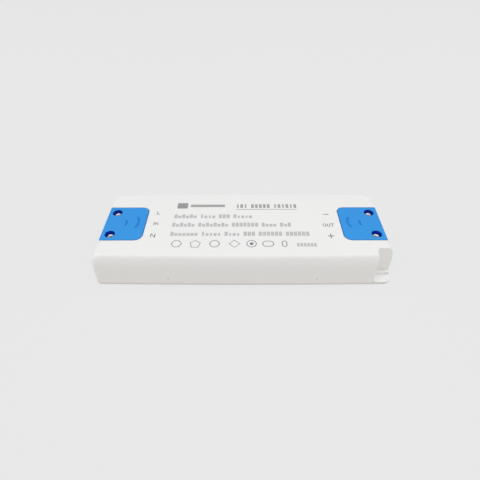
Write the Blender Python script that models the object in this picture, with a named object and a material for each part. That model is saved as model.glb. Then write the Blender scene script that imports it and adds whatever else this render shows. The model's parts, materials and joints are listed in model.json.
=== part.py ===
"""Slim plastic-cased power supply for LED lighting.

Frame: origin at the bottom centre of the case, +X along the length towards the
output end, +Y to the back, +Z up.  The numbers below are millimetres and are
turned into metres when the meshes are made.
"""
import math

import bmesh
import bpy
from mathutils import Matrix, Vector

MM = 0.001

# ---------------------------------------------------------------- driving sizes
CASE_L = 161.0            # over the base's end walls
CASE_H = 20.7
SHELL_END = 80.0          # half length of the shell's end faces
END_HALF_W = 27.7         # half width at the ends ...
CROWN = 0.7               # ... and how far the long walls bow out at mid length
EDGE_FRONT = 2.4          # the top edge is rounded inward: at the front ...
DRAFT_FRONT = 0.6         # ... where the wall also leans back, ...
EDGE_BACK = 1.8           # ... at the back ...
EDGE_DOWN = 8.0           # ... over this much height,
EDGE_ENDS = 3.6           # and at the ends ...
EDGE_ENDS_DOWN = 10.0     # ... over this much
PLAN_R = 2.7              # vertical corners, opening a little towards the top
WALL = 2.0
TOP_T = 2.0
SKIRT_Z = 0.4             # lower edge of the shell's long walls

NOTCH_X = 70.1            # corner notch at the front right
NOTCH_Y = -20.35
NOTCH_R = 2.5
NOTCH_WALL = 1.8
NOTCH_FRONT = -27.86      # the front wall's face beside the notch
NOTCH_LEAN = 0.9          # how far the notch's left edge leans outwards from top to bottom
FOOT_Z = 5.1              # foot of the shell's walls over the ledge

COVER_IN = 54.85          # terminal covers, from here ...
COVER_OUT = 77.65         # ... to here
COVER_HW = 14.0           # half width
COVER_R = 4.1             # rounded inner corners
COVER_T = 1.8
COVER_SKIRT = 1.2
SCREW_X = 72.85
SCREW_Y = 9.2
CBORE_R = 2.75
SEAT_Z = 17.0             # floor of the counterbores

BASE_T = 2.0
RIM_Z = 4.4               # top of the base's end walls
LEDGE_Z = 3.65            # top of the ledge in the notch
LEDGE_Y = -22.0
EAR_T = 1.8
EAR_FRONT = -27.3
EAR_END = 80.5
EAR_R = 4.1

BOARD_Z = 4.0
BOARD_T = 1.6
PCB = BOARD_Z + BOARD_T   # upper face of the board
GAP = 0.3                 # clearance between touching pieces

# ---------------------------------------------------------------- clean start
for old in list(bpy.data.objects):
    bpy.data.objects.remove(old, do_unlink=True)
for old in list(bpy.data.meshes):
    bpy.data.meshes.remove(old)

# ---------------------------------------------------------------- materials


def material(name, colour, roughness, metallic=0.0):
    mat = bpy.data.materials.new(name)
    mat.use_nodes = True
    bsdf = mat.node_tree.nodes["Principled BSDF"]
    bsdf.inputs["Base Color"].default_value = (*colour, 1.0)
    bsdf.inputs["Roughness"].default_value = roughness
    bsdf.inputs["Metallic"].default_value = metallic
    mat.diffuse_color = (*colour, 1.0)
    return mat


COLOURS = {
    "white_plastic": ((0.84, 0.84, 0.83), 0.5, 0.0),
    "blue_plastic": ((0.055, 0.31, 0.76), 0.45, 0.0),
    "steel": ((0.62, 0.60, 0.56), 0.3, 1.0),
    "board": ((0.05, 0.20, 0.09), 0.6, 0.0),
    "terminal_plastic": ((0.06, 0.22, 0.12), 0.5, 0.0),
    "brass": ((0.72, 0.53, 0.24), 0.35, 1.0),
    "glass_fuse": ((0.25, 0.22, 0.18), 0.4, 0.0),
    "blue_epoxy": ((0.07, 0.20, 0.50), 0.4, 0.0),
    "green_epoxy": ((0.08, 0.23, 0.12), 0.4, 0.0),
    "yellow_box": ((0.75, 0.55, 0.10), 0.5, 0.0),
    "ferrite": ((0.07, 0.07, 0.07), 0.65, 0.0),
    "copper_wire": ((0.62, 0.28, 0.12), 0.35, 1.0),
    "black_epoxy": ((0.02, 0.02, 0.02), 0.5, 0.0),
    "capacitor_sleeve": ((0.03, 0.03, 0.06), 0.4, 0.0),
    "aluminium": ((0.75, 0.75, 0.76), 0.35, 1.0),
    "tape": ((0.80, 0.62, 0.10), 0.45, 0.0),
    "black_plastic": ((0.03, 0.03, 0.03), 0.55, 0.0),
}
MATERIALS = {key: material(key, *value) for key, value in COLOURS.items()}

# ---------------------------------------------------------------- mesh tools


def fillet_outline(corners, seg=4):
    """Closed outline through (x, y, r) corners, each rounded with its radius."""
    points = []
    count = len(corners)
    for i, (x, y, r) in enumerate(corners):
        p = Vector((x, y))
        if r <= 0:
            points.append(p)
            continue
        a = (Vector(corners[i - 1][:2]) - p).normalized()
        b = (Vector(corners[(i + 1) % count][:2]) - p).normalized()
        half = a.angle(b) / 2
        centre = p + (a + b).normalized() * (r / math.sin(half))
        start = p + a * (r / math.tan(half))
        end = p + b * (r / math.tan(half))
        a0 = math.atan2(start.y - centre.y, start.x - centre.x)
        a1 = math.atan2(end.y - centre.y, end.x - centre.x)
        turn = (a1 - a0 + math.pi) % (2 * math.pi) - math.pi
        for k in range(seg + 1):
            t = a0 + turn * k / seg
            points.append(centre + Vector((math.cos(t), math.sin(t))) * r)
    return points


def rect(x0, x1, y0, y1, r=0.0, seg=4):
    radii = (r, r, r, r) if not isinstance(r, tuple) else r
    return fillet_outline([(x0, y0, radii[0]), (x1, y0, radii[1]),
                           (x1, y1, radii[2]), (x0, y1, radii[3])], seg)


def circle(cx, cy, r, seg=20, phase=0.0):
    return [Vector((cx + r * math.cos(2 * math.pi * (k + phase) / seg),
                    cy + r * math.sin(2 * math.pi * (k + phase) / seg))) for k in range(seg)]


def loft(levels):
    """Closed solid through a list of (outline, z) levels with equal point counts."""
    bm = bmesh.new()
    rings = [[bm.verts.new((p.x * MM, p.y * MM, z * MM)) for p in outline] for outline, z in levels]
    n = len(rings[0])
    bm.faces.new(list(reversed(rings[0])))
    bm.faces.new(rings[-1])
    for low, high in zip(rings, rings[1:]):
        for i in range(n):
            j = (i + 1) % n
            bm.faces.new((low[i], low[j], high[j], high[i]))
    bmesh.ops.recalc_face_normals(bm, faces=bm.faces)
    return bm


def prism(outline, z0, z1):
    return loft([(outline, z0), (outline, z1)])


def box(x0, x1, y0, y1, z0, z1):
    return prism(rect(x0, x1, y0, y1), z0, z1)


def chamfer_box(x0, x1, y0, y1, z0, z1, c=0.4):
    """Box with a small chamfer round its top."""
    return loft([(rect(x0, x1, y0, y1), z0), (rect(x0, x1, y0, y1), z1 - c),
                 (rect(x0 + c, x1 - c, y0 + c, y1 - c), z1)])


def turned(profile, seg=20):
    """Solid of revolution about Z from (radius, z) points, first and last on the axis."""
    bm = bmesh.new()
    rings = []
    for r, z in profile:
        if r <= 1e-6:
            rings.append([bm.verts.new((0, 0, z * MM))])
        else:
            rings.append([bm.verts.new((r * MM * math.cos(2 * math.pi * k / seg),
                                        r * MM * math.sin(2 * math.pi * k / seg), z * MM)) for k in range(seg)])
    for a, b in zip(rings, rings[1:]):
        for k in range(seg):
            j = (k + 1) % seg
            if len(a) == 1:
                bm.faces.new((a[0], b[k], b[j]))
            elif len(b) == 1:
                bm.faces.new((a[k], b[0], a[j]))
            else:
                bm.faces.new((a[k], b[k], b[j], a[j]))
    bmesh.ops.recalc_face_normals(bm, faces=bm.faces)
    return bm


def ring_sector(section, start=0.0, sweep=360.0, seg=24):
    """Solid made by turning a closed (radius, z) section about Z through an angle."""
    bm = bmesh.new()
    full = abs(sweep) >= 360.0
    steps = seg if full else seg + 1
    rings = []
    for k in range(steps):
        t = math.radians(start + sweep * k / seg)
        rings.append([bm.verts.new((r * MM * math.cos(t), r * MM * math.sin(t), z * MM)) for r, z in section])
    n = len(section)
    for k in range(seg):
        a, b = rings[k], rings[(k + 1) % steps]
        for i in range(n):
            j = (i + 1) % n
            bm.faces.new((a[i], a[j], b[j], b[i]))
    if not full:
        bm.faces.new(rings[0])
        bm.faces.new(list(reversed(rings[-1])))
    bmesh.ops.recalc_face_normals(bm, faces=bm.faces)
    return bm


def moved(bm, x=0.0, y=0.0, z=0.0, rot=None):
    if rot is not None:
        bmesh.ops.transform(bm, matrix=rot.to_4x4(), verts=bm.verts)
    bmesh.ops.translate(bm, vec=(x * MM, y * MM, z * MM), verts=bm.verts)
    return bm


def new_object(name, bm, slot=None):
    mesh = bpy.data.meshes.new(name)
    bm.to_mesh(mesh)
    bm.free()
    obj = bpy.data.objects.new(name, mesh)
    bpy.context.scene.collection.objects.link(obj)
    if slot:
        mesh.materials.append(MATERIALS[slot])
    return obj


def boolean(target, bm, operation):
    """Union with, or difference from, the given closed mesh."""
    tool = new_object(target.name + "_tool", bm)
    mod = target.modifiers.new("shape", "BOOLEAN")
    mod.operation = operation
    mod.object = tool
    mod.solver = "EXACT"
    bpy.context.view_layer.update()
    graph = bpy.context.evaluated_depsgraph_get()
    result = bpy.data.meshes.new_from_object(target.evaluated_get(graph))
    target.modifiers.clear()
    old = target.data
    name = old.name
    target.data = result
    bpy.data.meshes.remove(old)
    result.name = name
    tool_mesh = tool.data
    bpy.data.objects.remove(tool, do_unlink=True)
    bpy.data.meshes.remove(tool_mesh)


def add(target, bm):
    boolean(target, bm, "UNION")


def cut(target, bm):
    boolean(target, bm, "DIFFERENCE")


def tidy(obj, slot, angle=35.0):
    """One material, smooth round faces with crisp edges."""
    mesh = obj.data
    mesh.materials.clear()
    mesh.materials.append(MATERIALS[slot])
    bm = bmesh.new()
    bm.from_mesh(mesh)
    for face in bm.faces:
        face.material_index = 0
    bmesh.ops.remove_doubles(bm, verts=bm.verts, dist=2e-6)
    bmesh.ops.dissolve_degenerate(bm, edges=bm.edges, dist=2e-6)
    bm.to_mesh(mesh)
    bm.free()
    mesh.shade_smooth()
    mesh.set_sharp_from_angle(angle=math.radians(angle))
    return obj


assembly = bpy.data.objects.new("power_supply", None)
bpy.context.scene.collection.objects.link(assembly)


def finish(obj, slot, angle=35.0):
    tidy(obj, slot, angle)
    obj.parent = assembly
    return obj


# ---------------------------------------------------------------- top cover


def turned_in(z, amount, down):
    """How far an elliptical top edge has turned inward at height z."""
    t = max(0.0, (z - (CASE_H - down)) / down)
    return amount * (1 - math.sqrt(max(0.0, 1 - t * t)))


def shell_plan(z, seg=5, spans=8):
    """Rounded outline of the shell at height z, with bowed long sides."""
    in_x = turned_in(z, EDGE_ENDS, EDGE_ENDS_DOWN)
    r = PLAN_R + 0.25 * in_x
    ex = SHELL_END - in_x
    y0 = -(END_HALF_W - turned_in(z, EDGE_FRONT, EDGE_DOWN) - DRAFT_FRONT * z / CASE_H)
    y1 = END_HALF_W - turned_in(z, EDGE_BACK, EDGE_DOWN)
    corners = rect(-ex, ex, y0, y1, r, seg)
    n = seg + 1
    run = [2 * (ex - r) * k / spans - (ex - r) for k in range(1, spans)]
    points = corners[:n] + [Vector((x, y0)) for x in run] + corners[n:3 * n] + [Vector((-x, y1)) for x in run] + corners[3 * n:]
    return [Vector((p.x, p.y * (1 + CROWN / END_HALF_W * (1 - (p.x / SHELL_END) ** 2)))) for p in points]


cover = new_object("top_cover", loft([(shell_plan(z), z) for z in (
    SKIRT_Z, *(CASE_H - d for d in (10.0, 7.0, 4.8, 3.2, 2.0, 1.1, 0.5, 0.15, 0.0)))]))

# cavity, stepped in around the corner notch
inner_x = SHELL_END - WALL
inner_y = END_HALF_W - WALL
cut(cover, prism(fillet_outline([
    (-inner_x, -inner_y, 1.8),
    (NOTCH_X - NOTCH_WALL, -inner_y, 0.8),
    (NOTCH_X - NOTCH_WALL, NOTCH_Y + NOTCH_WALL, NOTCH_R + NOTCH_WALL),
    (inner_x, NOTCH_Y + NOTCH_WALL, 0.8),
    (inner_x, inner_y, 1.8),
    (-inner_x, inner_y, 1.8)], 4), -1.0, CASE_H - TOP_T))

# corner notch, with a rounded inner corner and a rounded arris on the front wall
def notch_plan(z):
    x = NOTCH_X + NOTCH_LEAN * (1 - z / CASE_H)
    pts = [Vector((85.0, NOTCH_Y)), Vector((85.0, -35.0)), Vector((x - 0.75, -35.0))]
    for k in range(5):
        t = math.radians(-78 + 78 * k / 4)
        pts.append(Vector((x - 1.0 + math.cos(t), NOTCH_FRONT + 1.0 + math.sin(t))))
    for k in range(6):
        t = math.radians(180 - 90 * k / 5)
        pts.append(Vector((x + NOTCH_R + NOTCH_R * math.cos(t), NOTCH_Y - NOTCH_R + NOTCH_R * math.sin(t))))
    return pts


cut(cover, loft([(notch_plan(-1.0), -1.0), (notch_plan(25.0), 25.0)]))

for side in (-1, 1):
    def span(a, b):
        return (a, b) if side > 0 else (-b, -a)

    # walls of the terminal chamber
    x0, x1 = span(53.0, 78.6)
    add(cover, box(x0, x1, -16.0, 16.0, 9.0, 17.0))
    x0, x1 = span(53.0, 78.1)
    add(cover, box(x0, x1, -16.0, 16.0, 16.5, CASE_H - 1.4))

for side in (-1, 1):
    # seat for the blue cover, open at the end face
    x0, x1 = span(COVER_IN - GAP, 85.0)
    r = COVER_R + GAP
    radii = (r, 0, 0, r) if side > 0 else (0, r, r, 0)
    cut(cover, prism(rect(x0, x1, -COVER_HW - GAP, COVER_HW + GAP, radii, 5), 10.0, 25.0))
    # terminal chamber below the seat's lip
    x0, x1 = span(COVER_IN + 1.1, 85.0)
    radii = (3.0, 0, 0, 3.0) if side > 0 else (0, 3.0, 3.0, 0)
    cut(cover, prism(rect(x0, x1, -COVER_HW + 1.1, COVER_HW - 1.1, radii, 4), RIM_Z + GAP, 11.0))
    x0, x1 = span(COVER_OUT - 2.2, 85.0)
    cut(cover, box(x0, x1, -COVER_HW - GAP, COVER_HW + GAP, RIM_Z + GAP, 11.0))
    # the base's end wall comes up under the shell's end face
    x0, x1 = span(76.6, 85.0)
    front = -26.5 if side < 0 else -27.0
    cut(cover, box(x0, x1, front, 23.2, -1.0, RIM_Z + GAP))

# the base's ledge passes under the notch's walls
cut(cover, box(68.0, 85.0, NOTCH_Y - 0.1, -17.2, -1.0, FOOT_Z))
cut(cover, box(NOTCH_X + NOTCH_LEAN, 85.0, NOTCH_Y - 3.0, NOTCH_Y + 0.2, -1.0, FOOT_Z))

# pockets for the snap hooks in the long walls
for x in (-40.5, 40.5):
    for side in (-1, 1):
        y0, y1 = (25.5, 27.1) if side > 0 else (-27.1, -25.5)
        cut(cover, box(x - 3.4, x + 3.4, y0, y1, 4.4, 7.4))
finish(cover, "white_plastic")

# ---------------------------------------------------------------- base tray
plate_y = inner_y - GAP
base = new_object("base_tray", prism(fillet_outline([
    (-77.55, -plate_y, 1.6), (NOTCH_X - NOTCH_WALL - GAP, -plate_y, 0), (NOTCH_X - NOTCH_WALL - GAP, NOTCH_Y + 0.2, 0),
    (77.55, NOTCH_Y + 0.2, 0), (77.55, plate_y, 1.6), (-77.55, plate_y, 1.6)], 3), 0.0, BASE_T))
for side in (-1, 1):
    # end wall
    x0, x1 = span(76.9, CASE_L / 2)
    front = -26.2 if side < 0 else -17.6
    r = (1.6, 0, 0, 0.8) if side < 0 else (0, 0.4, 0.8, 0)
    add(base, prism(rect(x0, x1, front, 22.9, r, 3), 0.0, RIM_Z))
# ledge behind the notch's foot, and the thin quarter-round ear
add(base, prism(fillet_outline([
    (NOTCH_X + NOTCH_LEAN + GAP, LEDGE_Y, 0), (CASE_L / 2, LEDGE_Y, 0.6), (CASE_L / 2, -17.0, 0), (NOTCH_X + NOTCH_LEAN + GAP, -17.0, 0)], 3), 0.0, LEDGE_Z))
add(base, box(68.4, 80.3, NOTCH_Y + 0.55, -17.5, LEDGE_Z - 1.0, FOOT_Z - GAP))
add(base, prism(fillet_outline([
    (NOTCH_X + NOTCH_LEAN + GAP, EAR_FRONT, 0.4), (EAR_END, EAR_FRONT, EAR_R), (EAR_END, -18.0, 0), (NOTCH_X + NOTCH_LEAN + GAP, -18.0, 0)], 6), 0.0, EAR_T))
# screw posts
for side in (-1, 1):
    for y in (-SCREW_Y, SCREW_Y):
        add(base, prism(circle(side * SCREW_X, y, 3.0, 16), 1.0, 12.1))
# cable cradle
for side in (-1, 1):
    x0, x1 = span(70.8, 72.3)
    add(base, box(x0, x1, -4.6, 4.6, 1.0, 4.8))
# board rests
for x in (-60.0, -20.0, 20.0, 60.0):
    for y in (-21.2, 21.2):
        add(base, box(x - 1.5, x + 1.5, y - 1.5, y + 1.5, 1.0, BOARD_Z - GAP))
# snap hooks
for x in (-40.5, 40.5):
    for side in (-1, 1):
        hook = [(24.0, 1.0), (25.4, 1.0), (25.4, 5.0), (26.4, 5.0), (25.4, 7.0), (24.0, 7.0)]
        bm = bmesh.new()
        rings = []
        for dx in (-3.0, 3.0):
            rings.append([bm.verts.new(((x + dx) * MM, side * y * MM, z * MM)) for y, z in hook])
        bm.faces.new(rings[0])
        bm.faces.new(list(reversed(rings[1])))
        for i in range(len(hook)):
            j = (i + 1) % len(hook)
            bm.faces.new((rings[0][i], rings[1][i], rings[1][j], rings[0][j]))
        bmesh.ops.recalc_face_normals(bm, faces=bm.faces)
        add(base, bm)
# bores of the screw posts
for side in (-1, 1):
    for y in (-SCREW_Y, SCREW_Y):
        cut(base, prism(circle(side * SCREW_X, y, 1.65, 12), 3.2, 14.0))
finish(base, "white_plastic")

# ---------------------------------------------------------------- blue covers


def arc_groove(cx, radius, a0, a1, width, depth, side, seg=7):
    """Shallow curved groove in the cover's top."""
    outer, inner = [], []
    for k in range(seg + 1):
        t = math.radians(a0 + (a1 - a0) * k / seg)
        outer.append(Vector((side * (cx - (radius + width / 2) * math.cos(t)), (radius + width / 2) * math.sin(t))))
        inner.append(Vector((side * (cx - (radius - width / 2) * math.cos(t)), (radius - width / 2) * math.sin(t))))
    outline = outer + list(reversed(inner))
    area = sum(p.x * q.y - q.x * p.y for p, q in zip(outline, outline[1:] + outline[:1]))
    if area < 0:
        outline.reverse()
    return prism(outline, CASE_H - depth, CASE_H + 1.0)


for side, name in ((-1, "input_terminal_cover"), (1, "output_terminal_cover")):
    r_in, r_out = COVER_R, 0.3
    x0, x1 = span(COVER_IN, COVER_OUT)
    radii = (r_in, r_out, r_out, r_in) if side > 0 else (r_out, r_in, r_in, r_out)
    obj = new_object(name, prism(rect(x0, x1, -COVER_HW, COVER_HW, radii, 5), 10.3, CASE_H))
    x0, x1 = span(COVER_IN + COVER_SKIRT, COVER_OUT - 1.6)
    radii = (2.9, 0.6, 0.6, 2.9) if side > 0 else (0.6, 2.9, 2.9, 0.6)
    cut(obj, prism(rect(x0, x1, -COVER_HW + COVER_SKIRT, COVER_HW - COVER_SKIRT, radii, 4), 9.0, CASE_H - COVER_T))
    # end wall, down to the base's end wall
    x0, x1 = span(COVER_OUT - 1.6, COVER_OUT - 0.05)
    add(obj, box(x0, x1, -COVER_HW + 0.05, COVER_HW - 0.05, RIM_Z + 0.6, 11.0))
    # screw tubes and clamp rib
    for y in (-SCREW_Y, SCREW_Y):
        add(obj, prism(circle(side * SCREW_X, y, 4.0, 20), 12.4, CASE_H - 1.0))
    x0, x1 = span(69.6, 71.1)
    add(obj, box(x0, x1, -4.6, 4.6, 11.6, CASE_H - 1.0))
    # cable arch
    x0, x1 = span(COVER_OUT - 3.0, COVER_OUT + 2.0)
    arch = fillet_outline([(-5.6, 2.0, 0), (5.6, 2.0, 0), (5.6, 11.0, 3.2), (-5.6, 11.0, 3.2)], 4)
    cut(obj, moved(prism(arch, min(x0, x1), max(x0, x1)), rot=Matrix(((0, 0, 1), (1, 0, 0), (0, 1, 0)))))
    # counterbored screw holes
    for y in (-SCREW_Y, SCREW_Y):
        cut(obj, prism(circle(side * SCREW_X, y, CBORE_R, 24), SEAT_Z, CASE_H + 1.0))
        cut(obj, prism(circle(side * SCREW_X, y, 1.65, 12), 12.0, SEAT_Z + 0.5))
    # two curved grip marks
    cut(obj, moved(arc_groove(66.8, 8.0, -30.0, 30.0, 1.0, 0.35, side), 0.0, 0.5, 0.0))
    cut(obj, arc_groove(69.1, 3.6, -31.0, 31.0, 0.8, 0.35, side))
    finish(obj, "blue_plastic")

# ---------------------------------------------------------------- cover screws


def screw(name, x, y, z_seat, head_r, head_h, shank_r, length, slot):
    """Pan-head screw with a cross recess; z_seat is the underside of its head."""
    obj = new_object(name, turned([
        (0, z_seat + head_h - 0.3), (head_r * 0.52, z_seat + head_h - 0.3), (head_r * 0.82, z_seat + head_h),
        (head_r * 0.93, z_seat + head_h), (head_r, z_seat + head_h - 0.3), (head_r, z_seat), (shank_r, z_seat),
        (shank_r, z_seat - length + 0.8), (0.3, z_seat - length), (0, z_seat - length)], 20))
    top = z_seat + head_h
    if slot == "cross":
        arm, half = head_r * 0.55, head_r * 0.13
        cross = [Vector(p) for p in ((half, -arm), (half, -half), (arm, -half), (arm, half), (half, half), (half, arm),
                                     (-half, arm), (-half, half), (-arm, half), (-arm, -half), (-half, -half), (-half, -arm))]
        cut(obj, prism(list(cross), top - 0.9, top + 1.0))
    else:
        half = head_r * 0.16
        cut(obj, box(-head_r * 1.3, head_r * 1.3, -half, half, top - 0.7, top + 1.0))
    bm = bmesh.new()
    bm.from_mesh(obj.data)
    moved(bm, x, y, 0.0)
    bm.to_mesh(obj.data)
    bm.free()
    return obj


for side, end in ((-1, "input"), (1, "output")):
    for y, where in ((-SCREW_Y, "front"), (SCREW_Y, "back")):
        finish(screw(f"cover_screw_{end}_{where}", side * SCREW_X, y, SEAT_Z + GAP, 1.85, 1.6, 1.3, 11.0, "cross"), "steel")

# ---------------------------------------------------------------- circuit board
board = new_object("circuit_board", prism(rect(-68.2, 68.2, -23.6, 23.6, 1.0, 2), BOARD_Z, PCB))
finish(board, "board")

# ---------------------------------------------------------------- terminal blocks
BLOCK = (57.4, 67.4, 8.4, 9.4)        # x from, x to, half width, height
FOOT = PCB + GAP

for side, end, poles in ((-1, "input", ("live", "neutral")), (1, "output", ("negative", "positive"))):
    x0, x1 = span(BLOCK[0], BLOCK[1])
    obj = new_object(f"{end}_terminal_block", chamfer_box(x0, x1, -BLOCK[2], BLOCK[2], FOOT, FOOT + BLOCK[3], 0.6))
    for y in (-4.1, 4.1):
        # wire entry from the end, and the screw well above it
        wx0, wx1 = span(60.0, 68.5)
        cut(obj, box(wx0, wx1, y - 2.9, y + 2.9, FOOT + 1.0, FOOT + 6.4))
        cut(obj, prism(circle(side * 62.6, y, 2.2, 14), FOOT + 5.9, FOOT + BLOCK[3] + 1.0))
    finish(obj, "terminal_plastic")
    for y, pole in ((4.1, poles[0]), (-4.1, poles[1])):
        # clamp cage round the wire
        cx0, cx1 = span(60.3, 64.8)
        cage = new_object(f"{end}_clamp_{pole}", box(cx0, cx1, y - 2.6, y + 2.6, FOOT + 1.3, FOOT + 6.1))
        wx0, wx1 = span(59.0, 66.5)
        cut(cage, box(wx0, wx1, y - 1.8, y + 1.8, FOOT + 2.0, FOOT + 5.3))
        cut(cage, prism(circle(side * 62.6, y, 1.5, 12), FOOT + 5.0, FOOT + 7.0))
        finish(cage, "brass")
        pin = screw(f"{end}_clamp_screw_{pole}", side * 62.6, y, FOOT + 6.9, 1.85, 1.6, 1.15, 2.6, "slot")
        finish(pin, "steel")

# ---------------------------------------------------------------- mains side


def disc_part(name, slot, x, y, r, t, turn):
    """Dipped disc standing on its two short leads."""
    obj = new_object(name, moved(turned([(0, -t / 2), (r * 0.8, -t / 2), (r, -t * 0.2), (r, t * 0.2), (r * 0.8, t / 2), (0, t / 2)], 18),
                                 rot=Matrix.Rotation(math.radians(90), 3, "X")))
    bm = bmesh.new()
    bm.from_mesh(obj.data)
    moved(bm, 0, 0, FOOT + 1.2 + r)
    bm.to_mesh(obj.data)
    bm.free()
    for dx in (-r * 0.5, r * 0.5):
        add(obj, box(dx - 0.35, dx + 0.35, -0.35, 0.35, FOOT, FOOT + 1.2 + r * 0.5))
    bm = bmesh.new()
    bm.from_mesh(obj.data)
    moved(bm, x, y, 0, rot=Matrix.Rotation(math.radians(turn), 3, "Z"))
    bm.to_mesh(obj.data)
    bm.free()
    return finish(obj, slot)


def can(name, slot, x, y, r, length, lying):
    """Electrolytic can with its rolled groove, upright or lying along X, on two leads."""
    profile = [(0, 0), (r - 0.4, 0), (r, 0.5), (r, 1.6), (r - 0.45, 2.1), (r, 2.6), (r, length - 0.6), (r - 0.6, length), (0, length)]
    bm = turned(profile, 20)
    if lying:
        moved(bm, x - length / 2, y, FOOT + 0.2 + r, rot=Matrix.Rotation(math.radians(90), 3, "Y"))
        obj = new_object(name, bm)
        for dy in (-2.2, 2.2):
            lead = fillet_outline([(-1.6, FOOT, 0), (-0.9, FOOT, 0), (-0.9, FOOT + r - 0.15, 0), (1.0, FOOT + r - 0.15, 0),
                                   (1.0, FOOT + r + 0.55, 0), (-1.6, FOOT + r + 0.55, 0)])
            side_face = prism(lead, dy - 0.35, dy + 0.35)
            bmesh.ops.transform(side_face, matrix=Matrix(((1, 0, 0), (0, 0, -1), (0, 1, 0))).to_4x4(), verts=side_face.verts)
            moved(side_face, x - length / 2, y, 0)
            add(obj, side_face)
    else:
        obj = new_object(name, moved(bm, x, y, FOOT + 0.6))
        for dy in (-2.2, 2.2):
            add(obj, box(x - 0.35, x + 0.35, y + dy - 0.35, y + dy + 0.35, FOOT, FOOT + 1.0))
    return finish(obj, slot)


# fuse: a sleeved barrel with its two leads bent down to the board
obj = new_object("fuse", moved(turned([(0, -6), (1.6, -6), (2.2, -5.6), (2.2, 5.6), (1.6, 6), (0, 6)], 16),
                               -48.6, -14.5, FOOT + 3.2, rot=Matrix.Rotation(math.radians(90), 3, "X")))
for dy in (-7.0, 7.0):
    y0, y1 = sorted((dy * 0.75, dy + math.copysign(0.35, dy)))
    add(obj, box(-48.95, -48.25, -14.5 + y0, -14.5 + y1, FOOT + 2.85, FOOT + 3.55))
    add(obj, box(-48.97, -48.23, -14.5 + dy - 0.37, -14.5 + dy + 0.37, FOOT, FOOT + 3.57))
finish(obj, "glass_fuse")
disc_part("varistor", "blue_epoxy", -47.9, 3.0, 4.6, 3.6, 0)
disc_part("inrush_thermistor", "green_epoxy", -48.2, 9.5, 4.3, 3.8, 0)

# box capacitor
obj = new_object("x_capacitor", chamfer_box(-42.5, -29.5, -22.9, -16.4, FOOT + 0.5, FOOT + 11.3, 0.5))
for x in (-41.0, -31.0):
    add(obj, box(x - 0.35, x + 0.35, -20.0, -19.3, FOOT, FOOT + 1.0))
finish(obj, "yellow_box")

# common-mode choke: ring core lying flat with two windings
cx, cy, cz = -36.0, -5.2, FOOT + 4.8
core = ring_sector([(4.6, -2.8), (8.0, -2.8), (8.0, 2.8), (4.6, 2.8)], seg=24)
finish(new_object("choke_core", moved(core, cx, cy, cz)), "ferrite")
for name, start in (("choke_winding_front", 200.0), ("choke_winding_back", 20.0)):
    t = math.radians
    bm = bmesh.new()
    seg = 10
    outer = [(3.3, -4.1), (9.3, -4.1), (9.3, 4.1), (3.3, 4.1)]
    inner = [(4.3, -3.1), (8.3, -3.1), (8.3, 3.1), (4.3, 3.1)]
    rings = []
    for k in range(seg + 1):
        a = t(start + 140.0 * k / seg)
        rings.append(([bm.verts.new((r * MM * math.cos(a), r * MM * math.sin(a), z * MM)) for r, z in outer],
                      [bm.verts.new((r * MM * math.cos(a), r * MM * math.sin(a), z * MM)) for r, z in inner]))
    for (o0, i0), (o1, i1) in zip(rings, rings[1:]):
        for i in range(4):
            j = (i + 1) % 4
            bm.faces.new((o0[i], o0[j], o1[j], o1[i]))
            bm.faces.new((i0[j], i0[i], i1[i], i1[j]))
    for (o, n) in (rings[0], rings[-1]):
        for i in range(4):
            j = (i + 1) % 4
            bm.faces.new((o[i], n[i], n[j], o[j]))
    bmesh.ops.recalc_face_normals(bm, faces=bm.faces)
    obj = new_object(name, moved(bm, cx, cy, cz))
    # two wire ends down to the board
    mid = t(start + 70.0)
    for d in (-35.0, 35.0):
        px, py = cx + 8.8 * math.cos(mid + t(d)), cy + 8.8 * math.sin(mid + t(d))
        add(obj, box(px - 0.4, px + 0.4, py - 0.4, py + 0.4, FOOT, cz - 3.6))
    finish(obj, "copper_wire")

# bridge rectifier: upright flat block on four leads
obj = new_object("bridge_rectifier", chamfer_box(-24.4, -20.8, -23.0, -8.4, FOOT + 1.0, FOOT + 11.2, 0.4))
for y in (-21.4, -17.6, -13.8, -10.0):
    add(obj, box(-22.95, -22.25, y - 0.4, y + 0.4, FOOT, FOOT + 1.5))
finish(obj, "black_epoxy")

# bulk capacitors, lying side by side
can("bulk_capacitor_front", "capacitor_sleeve", -32.5, 10.8, 5.5, 19.0, True)
can("bulk_capacitor_back", "capacitor_sleeve", -8.0, 10.8, 5.5, 19.0, True)

# ---------------------------------------------------------------- converter
# aluminium bar along the back with the switching transistor against it
obj = new_object("primary_heatsink", chamfer_box(-42.0, 2.0, 21.3, 23.5, FOOT, FOOT + 11.2, 0.3))
cut(obj, moved(prism(circle(0, 0, 1.7, 14), -3.0, 3.0), -20.0, 22.4, FOOT + 6.0, rot=Matrix.Rotation(math.radians(90), 3, "X")))
finish(obj, "aluminium")


def tab_part(name, x0, direction, y_face, z0):
    """Flat-backed transistor package lying along X against a bar at y_face (towards -Y)."""
    d = direction
    y1 = y_face - GAP
    obj = new_object(name, box(*sorted((x0, x0 + d * 9.2)), y1 - 4.4, y1, z0, z0 + 10.0))
    add(obj, box(*sorted((x0 + d * 8.9, x0 + d * 15.4)), y1 - 1.3, y1 - 0.001, z0 + 0.05, z0 + 9.95))
    cut(obj, moved(prism(circle(0, 0, 1.8, 14), -3.0, 3.0), x0 + d * 12.4, y1 - 0.7, z0 + 5.0, rot=Matrix.Rotation(math.radians(90), 3, "X")))
    for dz in (2.4, 5.0, 7.6):
        lead_y = y1 - 2.6
        xa, xb = sorted((x0 + d * 0.4, x0 - d * 2.4))
        add(obj, box(xa, xb, lead_y - 0.3, lead_y + 0.3, z0 + dz - 0.4, z0 + dz + 0.4))
    # the leads meet the board through one bent comb
    xa, xb = sorted((x0 - d * 1.8, x0 - d * 2.5))
    add(obj, box(xa, xb, y1 - 2.95, y1 - 2.25, FOOT, z0 + 8.05))
    return obj


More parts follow.
